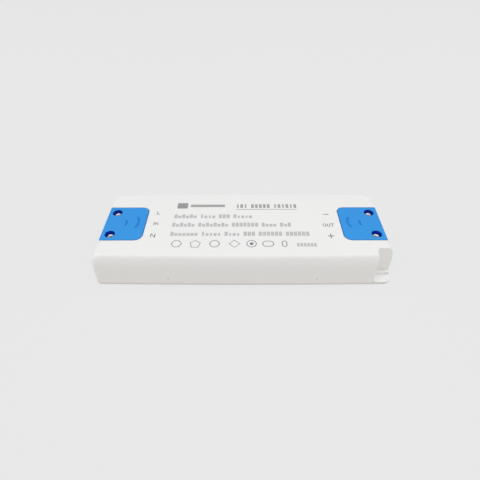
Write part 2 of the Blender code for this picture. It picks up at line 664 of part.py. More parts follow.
finish(tab_part("switching_transistor", -32.4, 1, 21.3, FOOT + 1.0), "black_epoxy")
obj = screw("heatsink_screw_primary", 0, 0, 0, 2.4, 1.6, 1.3, 5.6, "cross")
bm = bmesh.new()
bm.from_mesh(obj.data)
moved(bm, -20.0, 21.3 - GAP - 1.3 - 0.3, FOOT + 6.0, rot=Matrix.Rotation(math.radians(90), 3, "X"))
bm.to_mesh(obj.data)
bm.free()
finish(obj, "steel")

# controller chip
obj = new_object("controller_chip", chamfer_box(-14.0, -9.0, -19.0, -15.0, FOOT + 0.1, FOOT + 1.7, 0.3))
for x in (-13.4, -12.13, -10.87, -9.6):
    for y0, y1 in ((-20.0, -18.8), (-15.2, -14.0)):
        add(obj, box(x - 0.22, x + 0.22, y0, y1, FOOT, FOOT + 0.5))
finish(obj, "black_epoxy")

# transformer: bobbin, taped winding and two E-shaped core halves
tx, ty, tz = 8.0, -8.3, FOOT + 5.9
obj = new_object("transformer_bobbin", box(tx - 9.0, tx + 9.0, ty - 4.9, ty + 4.9, tz - 3.9, tz + 3.9))
for x0, x1 in ((-9.0, -7.8), (7.8, 9.0)):
    add(obj, box(tx + x0 - 0.02, tx + x1 + 0.02, ty - 8.9, ty + 8.9, tz - 5.4, tz + 5.3))
for x0, x1 in ((-12.4, -7.8), (7.8, 12.4)):
    add(obj, box(tx + x0, tx + x1, ty - 8.7, ty + 8.7, tz - 5.5, tz - 4.0))
cut(obj, box(tx - 15.0, tx + 15.0, ty - 3.9, ty + 3.9, tz - 3.1, tz + 3.1))
for x in (-11.2, 11.2):
    for y in (-7.0, -3.5, 0.0, 3.5, 7.0):
        add(obj, box(tx + x - 0.35, tx + x + 0.35, ty + y - 0.35, ty + y + 0.35, FOOT, tz - 5.0))
finish(obj, "black_plastic")

obj = new_object("transformer_winding", prism(rect(-8.6, 8.6, -5.2, 5.2, 1.6, 3), -7.4, 7.4))
cut(obj, box(-5.2, 5.2, -4.2, 4.2, -9.0, 9.0))
bm = bmesh.new()
bm.from_mesh(obj.data)
moved(bm, tx, ty, tz, rot=Matrix(((0, 0, 1), (1, 0, 0), (0, 1, 0))))
bm.to_mesh(obj.data)
bm.free()
finish(obj, "tape")

for name, side in (("transformer_core_left", -1), ("transformer_core_right", 1)):
    e = [(0.15, -13.2), (13.2, -13.2), (13.2, 13.2), (0.15, 13.2), (0.15, 9.3), (9.4, 9.3),
         (9.4, 3.5), (0.15, 3.5), (0.15, -3.5), (9.4, -3.5), (9.4, -9.3), (0.15, -9.3)]
    outline = [Vector((tx + side * x, ty + y)) for x, y in e]
    if side < 0:
        outline.reverse()
    finish(new_object(name, prism(outline, tz - 2.8, tz + 2.8)), "ferrite")

disc_part("y_capacitor", "blue_epoxy", 8.0, 11.0, 3.6, 3.4, 0)

# optocoupler
obj = new_object("optocoupler", chamfer_box(18.0, 22.6, 8.0, 14.4, FOOT + 0.6, FOOT + 3.9, 0.4))
for x in (19.0, 21.6):
    for y0, y1 in ((7.2, 8.3), (14.1, 15.2)):
        add(obj, box(x - 0.3, x + 0.3, y0, y1, FOOT, FOOT + 2.2))
finish(obj, "black_epoxy")

# ---------------------------------------------------------------- output side
obj = new_object("secondary_heatsink", chamfer_box(8.0, 48.0, 21.3, 23.5, FOOT, FOOT + 11.2, 0.3))
cut(obj, moved(prism(circle(0, 0, 1.7, 14), -3.0, 3.0), 28.0, 22.4, FOOT + 6.0, rot=Matrix.Rotation(math.radians(90), 3, "X")))
finish(obj, "aluminium")
finish(tab_part("output_diode", 40.4, -1, 21.3, FOOT + 1.0), "black_epoxy")
obj = screw("heatsink_screw_secondary", 0, 0, 0, 2.4, 1.6, 1.3, 5.6, "cross")
bm = bmesh.new()
bm.from_mesh(obj.data)
moved(bm, 28.0, 21.3 - GAP - 1.3 - 0.3, FOOT + 6.0, rot=Matrix.Rotation(math.radians(90), 3, "X"))
bm.to_mesh(obj.data)
bm.free()
finish(obj, "steel")

can("output_capacitor_front", "capacitor_sleeve", 47.0, -15.5, 5.0, 10.4, False)
can("output_capacitor_back", "capacitor_sleeve", 47.0, -3.5, 5.0, 10.4, False)

# drum inductor
ix, iy = 34.0, -16.0
obj = new_object("output_inductor_core", moved(turned([
    (0, 0), (5.0, 0), (5.0, 1.6), (2.4, 1.6), (2.4, 8.0), (5.0, 8.0), (5.0, 9.6), (0, 9.6)], 20), ix, iy, FOOT))
finish(obj, "ferrite")
obj = new_object("output_inductor_winding", moved(ring_sector([
    (2.7, 1.9), (4.6, 1.9), (4.6, 7.7), (2.7, 7.7)], seg=20), ix, iy, FOOT))
finish(obj, "copper_wire")
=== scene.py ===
"""Slim white power supply with blue terminal covers: finished surfaces, printing, light and camera."""
import json
import math

import bmesh
import bpy
from mathutils import Matrix, Vector


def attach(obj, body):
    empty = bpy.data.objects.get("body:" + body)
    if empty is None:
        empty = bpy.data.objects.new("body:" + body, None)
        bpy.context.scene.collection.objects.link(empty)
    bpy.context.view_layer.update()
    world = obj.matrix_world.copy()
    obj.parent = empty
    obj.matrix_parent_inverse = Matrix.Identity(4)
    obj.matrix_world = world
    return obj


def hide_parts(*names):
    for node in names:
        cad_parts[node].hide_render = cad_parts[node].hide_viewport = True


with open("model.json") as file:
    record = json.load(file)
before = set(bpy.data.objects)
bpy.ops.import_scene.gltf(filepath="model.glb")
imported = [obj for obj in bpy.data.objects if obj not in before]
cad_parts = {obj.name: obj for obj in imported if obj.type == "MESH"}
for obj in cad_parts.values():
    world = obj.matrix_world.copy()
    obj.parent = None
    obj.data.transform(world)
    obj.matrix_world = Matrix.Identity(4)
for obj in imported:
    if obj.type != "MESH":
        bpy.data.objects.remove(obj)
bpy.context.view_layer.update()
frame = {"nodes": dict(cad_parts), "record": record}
MM = 0.001

# ------------------------------------------------------------------ sizes, millimetres
SHELL_END = 80.0
END_HALF_W = 27.7
CROWN = 0.7
CASE_H = 20.7
TOP_Z = CASE_H - 0.03
EDGE_FRONT = 2.4
DRAFT_FRONT = 0.6
EDGE_BACK = 1.8
EDGE_DOWN = 8.0
EDGE_ENDS = 3.6
EDGE_ENDS_DOWN = 10.0
PLAN_R = 2.7
DIMPLE_Z = 5.05
NOTCH_X = 70.1
NOTCH_Y = -20.35
NOTCH_R = 2.5
NOTCH_WALL = 1.8
NOTCH_FRONT = -27.86
NOTCH_LEAN = 0.9
FOOT_Z = 5.1
COVER_IN = 54.85
COVER_OUT = 77.65
COVER_HW = 14.0
COVER_R = 4.1
SCREW_X = 72.85
SCREW_Y = 9.2
SEAT_Z = 17.0
RIM_Z = 4.4
LEDGE_Z = 3.65
LEDGE_Y = -22.0
EAR_T = 1.8
EAR_FRONT = -27.3
EAR_END = 80.5
EAR_R = 4.1
GAP = 0.3


# ------------------------------------------------------------------ outlines
def fillet_outline(corners, seg=8):
    """Closed outline through (x, y, r) corners, each rounded with its radius."""
    points = []
    count = len(corners)
    for i, (x, y, r) in enumerate(corners):
        p = Vector((x, y))
        if r <= 0:
            points.append(p)
            continue
        a = (Vector(corners[i - 1][:2]) - p).normalized()
        b = (Vector(corners[(i + 1) % count][:2]) - p).normalized()
        half = a.angle(b) / 2
        centre = p + (a + b).normalized() * (r / math.sin(half))
        start = p + a * (r / math.tan(half))
        end = p + b * (r / math.tan(half))
        a0 = math.atan2(start.y - centre.y, start.x - centre.x)
        a1 = math.atan2(end.y - centre.y, end.x - centre.x)
        turn = (a1 - a0 + math.pi) % (2 * math.pi) - math.pi
        for k in range(seg + 1):
            t = a0 + turn * k / seg
            points.append(centre + Vector((math.cos(t), math.sin(t))) * r)
    return points


def rect(x0, x1, y0, y1, r=0.0, seg=8):
    radii = r if isinstance(r, tuple) else (r, r, r, r)
    return fillet_outline([(x0, y0, radii[0]), (x1, y0, radii[1]),
                           (x1, y1, radii[2]), (x0, y1, radii[3])], seg)


def circle(cx, cy, r, seg=48):
    return [Vector((cx + r * math.cos(2 * math.pi * k / seg), cy + r * math.sin(2 * math.pi * k / seg))) for k in range(seg)]


# ------------------------------------------------------------------ solids
def loft(levels):
    """Closed solid through (outline, z) levels with equal point counts."""
    bm = bmesh.new()
    rings = [[bm.verts.new((p.x * MM, p.y * MM, z * MM)) for p in outline] for outline, z in levels]
    n = len(rings[0])
    bm.faces.new(list(reversed(rings[0])))
    bm.faces.new(rings[-1])
    for low, high in zip(rings, rings[1:]):
        for i in range(n):
            j = (i + 1) % n
            bm.faces.new((low[i], low[j], high[j], high[i]))
    bmesh.ops.recalc_face_normals(bm, faces=bm.faces)
    return bm


def prism(outline, z0, z1):
    return loft([(outline, z0), (outline, z1)])


def box(x0, x1, y0, y1, z0, z1):
    return prism(rect(x0, x1, y0, y1), z0, z1)


def round_steps(r, seg=4):
    """(inset, drop) pairs of a quarter round, from the side face to the top face."""
    return [(r * (1 - math.cos(math.pi / 2 * k / seg)), r * (1 - math.sin(math.pi / 2 * k / seg))) for k in range(seg + 1)]


def soft_prism(corners, z0, z1, r_top=0.3, r_low=0.0, seg=8, steps=3):
    """Prism of an outline given as (x, y, r) corners with rounded upper and lower edges.

    The outline is shrunk along its own mitred normals, so that every level has the same points."""
    base = fillet_outline(corners, seg)
    area = sum(p.x * q.y - q.x * p.y for p, q in zip(base, base[1:] + base[:1]))
    if area < 0:
        base.reverse()

    def shrunk(d):
        out = []
        n = len(base)
        for i, p in enumerate(base):
            a = (p - base[i - 1])
            b = (base[(i + 1) % n] - p)
            na = Vector((-a.y, a.x)).normalized()
            nb = Vector((-b.y, b.x)).normalized()
            m = (na + nb)
            m = m / max(0.2, m.dot(na)) if m.length > 1e-6 else na
            out.append(p + m * d)
        return out

    levels = []
    if r_low > 0:
        for inset, drop in reversed(round_steps(r_low, steps)):
            levels.append((shrunk(inset), z0 + drop))
    else:
        levels.append((base, z0))
    if r_top > 0:
        for inset, drop in round_steps(r_top, steps):
            levels.append((shrunk(inset), z1 - drop))
    else:
        levels.append((base, z1))
    return loft(levels)


def corners_of(x0, x1, y0, y1, r=0.0):
    radii = r if isinstance(r, tuple) else (r, r, r, r)
    return [(x0, y0, radii[0]), (x1, y0, radii[1]), (x1, y1, radii[2]), (x0, y1, radii[3])]


def turned(profile, seg=48):
    """Solid of revolution about Z from (radius, z) points, first and last on the axis."""
    bm = bmesh.new()
    rings = []
    for r, z in profile:
        if r <= 1e-6:
            rings.append([bm.verts.new((0, 0, z * MM))])
        else:
            rings.append([bm.verts.new((r * MM * math.cos(2 * math.pi * k / seg),
                                        r * MM * math.sin(2 * math.pi * k / seg), z * MM)) for k in range(seg)])
    for a, b in zip(rings, rings[1:]):
        for k in range(seg):
            j = (k + 1) % seg
            if len(a) == 1:
                bm.faces.new((a[0], b[k], b[j]))
            elif len(b) == 1:
                bm.faces.new((a[k], b[0], a[j]))
            else:
                bm.faces.new((a[k], b[k], b[j], a[j]))
    bmesh.ops.recalc_face_normals(bm, faces=bm.faces)
    return bm


def moved(bm, x=0.0, y=0.0, z=0.0, rot=None):
    if rot is not None:
        bmesh.ops.transform(bm, matrix=rot.to_4x4(), verts=bm.verts)
    bmesh.ops.translate(bm, vec=(x * MM, y * MM, z * MM), verts=bm.verts)
    return bm


def joined(parts):
    """Several separate closed meshes as one."""
    out = bmesh.new()
    for part in parts:
        mesh = bpy.data.meshes.new("part")
        part.to_mesh(mesh)
        part.free()
        out.from_mesh(mesh)
        bpy.data.meshes.remove(mesh)
    return out


def new_object(name, bm):
    mesh = bpy.data.meshes.new(name)
    bm.to_mesh(mesh)
    bm.free()
    obj = bpy.data.objects.new(name, mesh)
    bpy.context.scene.collection.objects.link(obj)
    return obj


def boolean(target, bm, operation):
    tool = new_object(target.name + "_tool", bm)
    mod = target.modifiers.new("shape", "BOOLEAN")
    mod.operation = operation
    mod.object = tool
    mod.solver = "EXACT"
    bpy.context.view_layer.update()
    graph = bpy.context.evaluated_depsgraph_get()
    result = bpy.data.meshes.new_from_object(target.evaluated_get(graph))
    target.modifiers.clear()
    old = target.data
    name = old.name
    target.data = result
    bpy.data.meshes.remove(old)
    result.name = name
    tool_mesh = tool.data
    bpy.data.objects.remove(tool, do_unlink=True)
    bpy.data.meshes.remove(tool_mesh)


def add(target, bm):
    boolean(target, bm, "UNION")


def cut(target, bm):
    boolean(target, bm, "DIFFERENCE")


def cut_all(target, parts):
    """One difference with several cutters that don't touch each other."""
    boolean(target, joined(parts), "DIFFERENCE")


def soften(obj, where, width, segments=2, angle=50.0):
    """Rounds the sharp edges whose both ends satisfy where(x, y, z), in millimetres."""
    bm = bmesh.new()
    bm.from_mesh(obj.data)
    bmesh.ops.remove_doubles(bm, verts=bm.verts, dist=2e-6)
    chosen = []
    for e in bm.edges:
        if len(e.link_faces) != 2 or e.calc_face_angle(0.0) < math.radians(angle):
            continue
        if all(where(v.co.x / MM, v.co.y / MM, v.co.z / MM) for v in e.verts):
            chosen.append(e)
    if chosen:
        bmesh.ops.bevel(bm, geom=chosen, offset=width * MM, offset_type="OFFSET", segments=segments,
                        profile=0.5, affect="EDGES", clamp_overlap=True)
    bm.to_mesh(obj.data)
    bm.free()


def tidy(obj, mats, angle=35.0, weighted=True):
    """Smooth round faces, crisp edges, and normals that keep the flat faces flat."""
    mesh = obj.data
    bm = bmesh.new()
    bm.from_mesh(mesh)
    bmesh.ops.remove_doubles(bm, verts=bm.verts, dist=2e-6)
    bmesh.ops.dissolve_degenerate(bm, edges=bm.edges, dist=2e-6)
    bm.to_mesh(mesh)
    bm.free()
    mesh.materials.clear()
    for m in mats:
        mesh.materials.append(m)
    mesh.shade_smooth()
    mesh.set_sharp_from_angle(angle=math.radians(angle))
    if weighted:
        mod = obj.modifiers.new("flat_faces", "WEIGHTED_NORMAL")
        mod.mode = "FACE_AREA"
        mod.weight = 80
        mod.keep_sharp = True
    return obj


# ------------------------------------------------------------------ materials
def srgb(r, g, b):
    def lin(c):
        c /= 255.0
        return c / 12.92 if c <= 0.04045 else ((c + 0.055) / 1.055) ** 2.4
    return (lin(r), lin(g), lin(b), 1.0)


def shade(colour, f):
    return (min(1.0, colour[0] * f), min(1.0, colour[1] * f), min(1.0, colour[2] * f), 1.0)


class Surface:
    """A node material on object coordinates, in millimetres."""

    def __init__(self, name, metallic=0.0, specular=0.5, coat=0.0, coat_roughness=0.2, ior=1.5, sss=0.0, sss_radius=(1.0, 1.0, 1.0)):
        self.mat = bpy.data.materials.new(name)
        self.mat.use_nodes = True
        self.tree = self.mat.node_tree
        self.bsdf = self.tree.nodes["Principled BSDF"]
        self.bsdf.inputs["Metallic"].default_value = metallic
        self.bsdf.inputs["Specular IOR Level"].default_value = specular
        self.bsdf.inputs["IOR"].default_value = ior
        self.bsdf.inputs["Coat Weight"].default_value = coat
        self.bsdf.inputs["Coat Roughness"].default_value = coat_roughness
        if sss > 0:
            self.bsdf.inputs["Subsurface Weight"].default_value = sss
            self.bsdf.inputs["Subsurface Radius"].default_value = sss_radius
            self.bsdf.inputs["Subsurface Scale"].default_value = 0.001
        coord = self.tree.nodes.new("ShaderNodeTexCoord")
        scale = self.tree.nodes.new("ShaderNodeMapping")
        scale.inputs["Scale"].default_value = (1000.0, 1000.0, 1000.0)
        self.tree.links.new(coord.outputs["Object"], scale.inputs["Vector"])
        self.vector = scale.outputs["Vector"]

    def node(self, kind, **values):
        n = self.tree.nodes.new(kind)
        for key, value in values.items():
            setattr(n, key, value)
        return n

    def link(self, a, b):
        self.tree.links.new(a, b)

    def stretched(self, x, y, z):
        m = self.node("ShaderNodeMapping")
        m.inputs["Scale"].default_value = (x, y, z)
        self.link(self.vector, m.inputs["Vector"])
        return m.outputs["Vector"]

    def noise(self, size, detail=2.0, rough=0.5, vector=None):
        """Noise whose features are about size millimetres."""
        n = self.node("ShaderNodeTexNoise")
        n.inputs["Scale"].default_value = 1.0 / size
        n.inputs["Detail"].default_value = detail
        n.inputs["Roughness"].default_value = rough
        self.link(vector or self.vector, n.inputs["Vector"])
        return n.outputs["Fac"]

    def voronoi(self, size, feature="F1", vector=None):
        n = self.node("ShaderNodeTexVoronoi", feature=feature)
        n.inputs["Scale"].default_value = 1.0 / size
        self.link(vector or self.vector, n.inputs["Vector"])
        return n.outputs["Distance"]

    def wave(self, size, direction="X", distortion=0.0, vector=None, bands="BANDS"):
        n = self.node("ShaderNodeTexWave", wave_type=bands)
        if bands == "BANDS":
            n.bands_direction = direction
        else:
            n.rings_direction = direction
        n.inputs["Scale"].default_value = 0.314159 / size
        n.inputs["Distortion"].default_value = distortion
        self.link(vector or self.vector, n.inputs["Vector"])
        return n.outputs["Fac"]

    def ramp(self, fac, stops):
        n = self.node("ShaderNodeValToRGB")
        while len(n.color_ramp.elements) < len(stops):
            n.color_ramp.elements.new(0.5)
        for e, (pos, colour) in zip(n.color_ramp.elements, stops):
            e.position = pos
            e.color = colour if isinstance(colour, tuple) else (colour, colour, colour, 1.0)
        self.link(fac, n.inputs["Fac"])
        return n.outputs["Color"]

    def mixed(self, fac, a, b, blend="MIX"):
        n = self.node("ShaderNodeMix", data_type="RGBA", blend_type=blend)
        for value, socket in ((fac, n.inputs[0]), (a, n.inputs[6]), (b, n.inputs[7])):
            if isinstance(value, bpy.types.NodeSocket):
                self.link(value, socket)
            else:
                socket.default_value = value
        return n.outputs[2]

    def remap(self, fac, low, high, f0=0.0, f1=1.0):
        n = self.node("ShaderNodeMapRange")
        n.inputs["From Min"].default_value = f0
        n.inputs["From Max"].default_value = f1
        n.inputs["To Min"].default_value = low
        n.inputs["To Max"].default_value = high
        self.link(fac, n.inputs["Value"])
        return n.outputs["Result"]

    def edges(self, radius, low=0.0, high=1.0):
        """Mask that rises where the surface turns within radius millimetres."""
        bevel = self.node("ShaderNodeBevel", samples=6)
        bevel.inputs["Radius"].default_value = radius * MM
        geo = self.node("ShaderNodeNewGeometry")
        dot = self.node("ShaderNodeVectorMath", operation="DOT_PRODUCT")
        self.link(bevel.outputs["Normal"], dot.inputs[0])
        self.link(geo.outputs["Normal"], dot.inputs[1])
        return self.remap(dot.outputs["Value"], high, low, 0.80, 0.995)

    def height(self, stops):
        """Ramp over the height above the case's underside; stops are (millimetres, value)."""
        split = self.node("ShaderNodeSeparateXYZ")
        self.link(self.vector, split.inputs[0])
        top = stops[-1][0]
        return self.ramp(self.remap(split.outputs["Z"], 0.0, 1.0, 0.0, top), [(z / top, v) for z, v in stops])

    def colour(self, socket):
        self.link(socket, self.bsdf.inputs["Base Color"])
        return self

    def roughness(self, socket):
        self.link(socket, self.bsdf.inputs["Roughness"])
        return self

    def bump(self, layers):
        """layers: (height socket, height in millimetres)."""
        normal = None
        for height, depth in layers:
            n = self.node("ShaderNodeBump")
            n.inputs["Strength"].default_value = 1.0
            n.inputs["Distance"].default_value = depth * MM
            self.link(height, n.inputs["Height"])
            if normal is not None:
                self.link(normal, n.inputs["Normal"])
            normal = n.outputs["Normal"]
        self.link(normal, self.bsdf.inputs["Normal"])
        return self


def moulded(name, colour, rough=(0.46, 0.56), texture=0.35, depth=0.006, edge_wear_and_painted_light=1.06, spread=0.02, specular=0.4, sss=0.0, coat=0.0, painted_shade_by_height=None):
    """Injection-moulded plastic: fine eroded texture, slow flow variation, edges recoloured by a factor that stands for
    edge wear and painted light (a painted highlight above 1, painted shade below 1), and an optional painted shade ramp
    over height.
    """
    s = Surface(name, specular=specular, coat=coat, sss=sss, sss_radius=(1.2, 1.0, 0.9))
    flow = s.noise(26.0, 3.0, 0.55, s.stretched(0.45, 1.0, 1.0))
    base = s.ramp(flow, [(0.3, shade(colour, 1 - spread)), (0.7, shade(colour, 1 + spread))])
    speck = s.ramp(s.noise(0.9, 2.0), [(0.35, (0.985, 0.985, 0.985, 1)), (0.65, (1.0, 1.0, 1.0, 1))])
    base = s.mixed(1.0, base, speck, "MULTIPLY")
    # painted highlight on the edges: edge colour is the base colour times the edge factor, lighter above 1 (partly edge
    # wear), painted shade below 1
    edge = s.edges(0.35, 0.0, 1.0)
    base = s.mixed(edge, base, shade(colour, edge_wear_and_painted_light))
    # painted shade: a colour ramp over height darkens the lowest millimetres, standing in for the contact shadow at the
    # foot
    if painted_shade_by_height:
        base = s.mixed(1.0, base, s.height(painted_shade_by_height), "MULTIPLY")
    s.colour(base)
    fine = s.noise(texture, 3.0, 0.6)
    rough_map = s.remap(s.noise(7.0, 3.0, 0.6), rough[0], rough[1])
    s.roughness(rough_map)
    s.bump([(fine, depth), (s.noise(9.0, 2.0), depth * 1.2)])
    return s.mat


MATS = {}
# white plastic of the shell: painted highlight on the edges; its height ramp paints shade with a warm tint, darkest at
# the foot, and a faint painted shade up to mid height
MATS["white_plastic"] = moulded("white_plastic", (0.84, 0.84, 0.835, 1.0), rough=(0.48, 0.58), depth=0.004, edge_wear_and_painted_light=1.08, spread=0.006,
                                painted_shade_by_height=[(0.0, (0.54, 0.52, 0.51, 1.0)), (0.5, (0.64, 0.62, 0.615, 1.0)), (1.1, (0.77, 0.745, 0.735, 1.0)),
                                      (1.7, (0.925, 0.908, 0.895, 1.0)), (2.8, (1.0, 0.988, 0.978, 1.0)), (3.6, (0.985, 0.976, 0.966, 1.0)), (12.5, (0.985, 0.976, 0.966, 1.0)), (16.5, 1.0)])
# lighter copy of the white plastic for the base tray: painted light that brightens the ledge and ear in the notch; its
# height ramp paints shade at the foot and on the ledge's front face
MATS["white_base_painted_light"] = moulded("white_base_painted_light", (0.86, 0.86, 0.855, 1.0), rough=(0.48, 0.58), depth=0.004, edge_wear_and_painted_light=1.03, spread=0.006,
                             painted_shade_by_height=[(0.0, 0.62), (0.5, 0.72), (1.2, 0.86), (1.6, 0.96), (1.8, 1.0), (2.0, 0.95), (3.3, 0.95), (3.6, 1.0)])
# darker white for the small dimples: painted shade in the recesses
MATS["white_painted_dimple_shade"] = moulded("white_painted_dimple_shade", (0.72, 0.71, 0.70, 1.0), rough=(0.5, 0.6), depth=0.004, edge_wear_and_painted_light=1.0, spread=0.01, specular=0.3)
# dark bluish white for the walls of the cover seats: a painted shadow beside the blue covers, with a painted blue
# reflection
MATS["white_painted_seat_shadow"] = moulded("white_painted_seat_shadow", (0.34, 0.42, 0.50, 1.0), rough=(0.5, 0.6), depth=0.004, edge_wear_and_painted_light=1.0, spread=0.01, specular=0.3)
MATS["blue_plastic"] = moulded("blue_plastic", (0.026, 0.295, 0.760, 1.0), rough=(0.42, 0.52), depth=0.004, edge_wear_and_painted_light=0.88, spread=0.02)
# darker blue for the arc grooves: painted shade in the grooves
MATS["blue_painted_groove_shade"] = moulded("blue_painted_groove_shade", (0.014, 0.262, 0.70, 1.0), rough=(0.46, 0.56), depth=0.004, edge_wear_and_painted_light=1.0, spread=0.02, specular=0.3)
# darker blue for the covers' rounded top edges: a painted shadow line along the edge
MATS["blue_painted_edge_shade"] = moulded("blue_painted_edge_shade", (0.010, 0.215, 0.60, 1.0), rough=(0.42, 0.52), depth=0.004, edge_wear_and_painted_light=1.0, spread=0.02, specular=0.3)
# deep dark blue for the counterbores: painted shade inside the screw holes
MATS["blue_painted_hole_shade"] = moulded("blue_painted_hole_shade", (0.001, 0.042, 0.52, 1.0), rough=(0.40, 0.50), depth=0.004, edge_wear_and_painted_light=1.05, spread=0.03, specular=0.25)


def metal(name, colour, rough=(0.22, 0.36), tint=None, scratch=1.0, grain=(0.2, 0.2, 0.2), metallic=1.0):
    s = Surface(name, metallic=metallic)
    cloud = s.noise(1.6, 3.0, 0.6)
    base = s.ramp(cloud, [(0.35, colour), (0.65, tint or shade(colour, 0.9))])
    edge = s.edges(0.12)
    s.colour(s.mixed(edge, base, shade(colour, 1.12)))
    s.roughness(s.remap(s.noise(0.5, 4.0, 0.7), rough[0], rough[1]))
    s.bump([(s.noise(0.25, 3.0, 0.6, s.stretched(*[1.0 / g * 0.2 for g in grain])), 0.002 * scratch), (s.noise(1.2, 2.0), 0.003)])
    return s.mat


MATS["steel"] = metal("steel", (0.86, 0.84, 0.80, 1.0), tint=(0.80, 0.72, 0.56, 1.0), rough=(0.34, 0.50), metallic=0.8)
MATS["zinc"] = metal("zinc", (0.78, 0.76, 0.74, 1.0), tint=(0.70, 0.65, 0.58, 1.0), rough=(0.26, 0.40), metallic=0.85)
# dark brown for the cross recess of the screws: painted shade in the recess
MATS["recess"] = metal("recess", (0.13, 0.10, 0.045, 1.0), tint=(0.09, 0.06, 0.03, 1.0), rough=(0.35, 0.5), metallic=0.3)
MATS["worn_brass"] = metal("worn_brass", (0.60, 0.43, 0.27, 1.0), tint=(0.48, 0.32, 0.18, 1.0), rough=(0.32, 0.46), metallic=0.15)
MATS["brass"] = metal("brass", (0.78, 0.60, 0.30, 1.0), tint=(0.66, 0.47, 0.20, 1.0), rough=(0.28, 0.42))
MATS["aluminium"] = metal("aluminium", (0.80, 0.80, 0.81, 1.0), rough=(0.30, 0.45), scratch=1.6, grain=(3.0, 0.2, 0.2))


def wound(name):
    """Enamelled copper laid in turns."""
    s = Surface(name, metallic=1.0, coat=0.5, coat_roughness=0.15)
    turns = s.wave(0.55, "DIAGONAL", 0.4)
    s.colour(s.ramp(turns, [(0.0, (0.16, 0.05, 0.02, 1)), (0.45, (0.62, 0.26, 0.10, 1)), (1.0, (0.80, 0.40, 0.18, 1))]))
    s.roughness(s.remap(s.noise(0.8, 3.0), 0.22, 0.38))
    s.bump([(turns, 0.10), (s.noise(0.4, 2.0), 0.004)])
    return s.mat


MATS["copper_wire"] = wound("copper_wire")


def laminate(name):
    """Green solder resist over a faint weave, with tracks showing through as slightly raised lighter bands."""
    s = Surface(name, specular=0.5, coat=0.25, coat_roughness=0.25)
    cells = s.node("ShaderNodeTexBrick")
    cells.inputs["Scale"].default_value = 0.12
    cells.inputs["Mortar Size"].default_value = 0.05
    cells.inputs["Color1"].default_value = (1, 1, 1, 1)
    cells.inputs["Color2"].default_value = (0.8, 0.8, 0.8, 1)
    cells.inputs["Mortar"].default_value = (0, 0, 0, 1)
    s.link(s.vector, cells.inputs["Vector"])
    tracks = cells.outputs["Color"]
    base = s.mixed(tracks, (0.018, 0.10, 0.045, 1), (0.035, 0.19, 0.085, 1))
    weave = s.mixed(0.5, s.wave(0.5, "X"), s.wave(0.5, "Y"), "MULTIPLY")
    base = s.mixed(s.remap(s.noise(5.0, 3.0), 0.0, 0.35), base, (0.05, 0.23, 0.10, 1))
    s.colour(base)
    s.roughness(s.remap(s.noise(3.0, 3.0), 0.32, 0.5))
    s.bump([(tracks, 0.03), (weave, 0.006)])
    return s.mat


MATS["board"] = laminate("board")
MATS["terminal_plastic"] = moulded("terminal_plastic", (0.045, 0.24, 0.115, 1.0), rough=(0.38, 0.5), edge_wear_and_painted_light=1.25, spread=0.06)
MATS["black_plastic"] = moulded("black_plastic", (0.022, 0.022, 0.024, 1.0), rough=(0.45, 0.6), edge_wear_and_painted_light=1.8, spread=0.1)
MATS["black_epoxy"] = moulded("black_epoxy", (0.020, 0.020, 0.022, 1.0), rough=(0.5, 0.68), texture=0.18, depth=0.008, edge_wear_and_painted_light=1.8, spread=0.1)
MATS["yellow_box"] = moulded("yellow_box", (0.74, 0.52, 0.09, 1.0), rough=(0.36, 0.5), edge_wear_and_painted_light=1.1, spread=0.05)


def dipped(name, colour):
    """Glossy dipped coating with slow runs and pinholes."""
    s = Surface(name, specular=0.5, coat=0.4, coat_roughness=0.18)
    s.colour(s.ramp(s.noise(3.5, 4.0, 0.6), [(0.3, shade(colour, 0.8)), (0.7, shade(colour, 1.2))]))
    s.roughness(s.remap(s.noise(1.5, 3.0), 0.28, 0.45))
    s.bump([(s.noise(2.2, 2.0), 0.05), (s.voronoi(0.6), 0.004)])
    return s.mat


MATS["blue_epoxy"] = dipped("blue_epoxy", (0.05, 0.17, 0.50, 1.0))
MATS["green_epoxy"] = dipped("green_epoxy", (0.05, 0.19, 0.09, 1.0))


def sleeve(name):
    """Shrunk vinyl sleeve, near-black with slow cloudy variation."""
    s = Surface(name, specular=0.5, coat=0.3, coat_roughness=0.2)
    cloud = s.noise(4.0, 3.0)
    s.colour(s.ramp(cloud, [(0.3, (0.012, 0.013, 0.030, 1)), (0.7, (0.030, 0.032, 0.060, 1))]))
    s.roughness(s.remap(s.noise(1.2, 3.0), 0.26, 0.42))
    s.bump([(s.noise(1.4, 3.0, 0.6, s.stretched(0.25, 1.0, 1.0)), 0.02)])
    return s.mat


MATS["capacitor_sleeve"] = sleeve("capacitor_sleeve")


def sintered(name):
    s = Surface(name, specular=0.35)
    s.colour(s.ramp(s.noise(0.5, 5.0, 0.7), [(0.3, (0.030, 0.030, 0.032, 1)), (0.7, (0.075, 0.073, 0.072, 1))]))
    s.roughness(s.remap(s.noise(0.8, 4.0), 0.55, 0.75))
    s.bump([(s.noise(0.3, 5.0, 0.7), 0.02)])
    return s.mat


MATS["ferrite"] = sintered("ferrite")


def wrapped(name):
    """Layers of yellow polyester tape."""
    s = Surface(name, specular=0.5, coat=0.3, coat_roughness=0.15)
    lap = s.wave(3.2, "X", 0.3)
    s.colour(s.ramp(lap, [(0.0, (0.62, 0.42, 0.05, 1)), (0.3, (0.80, 0.60, 0.10, 1)), (1.0, (0.84, 0.66, 0.14, 1))]))
    s.roughness(s.remap(s.noise(2.0, 3.0), 0.25, 0.42))
    s.bump([(lap, 0.03), (s.noise(3.0, 2.0), 0.03)])
    return s.mat


MATS["tape"] = wrapped("tape")


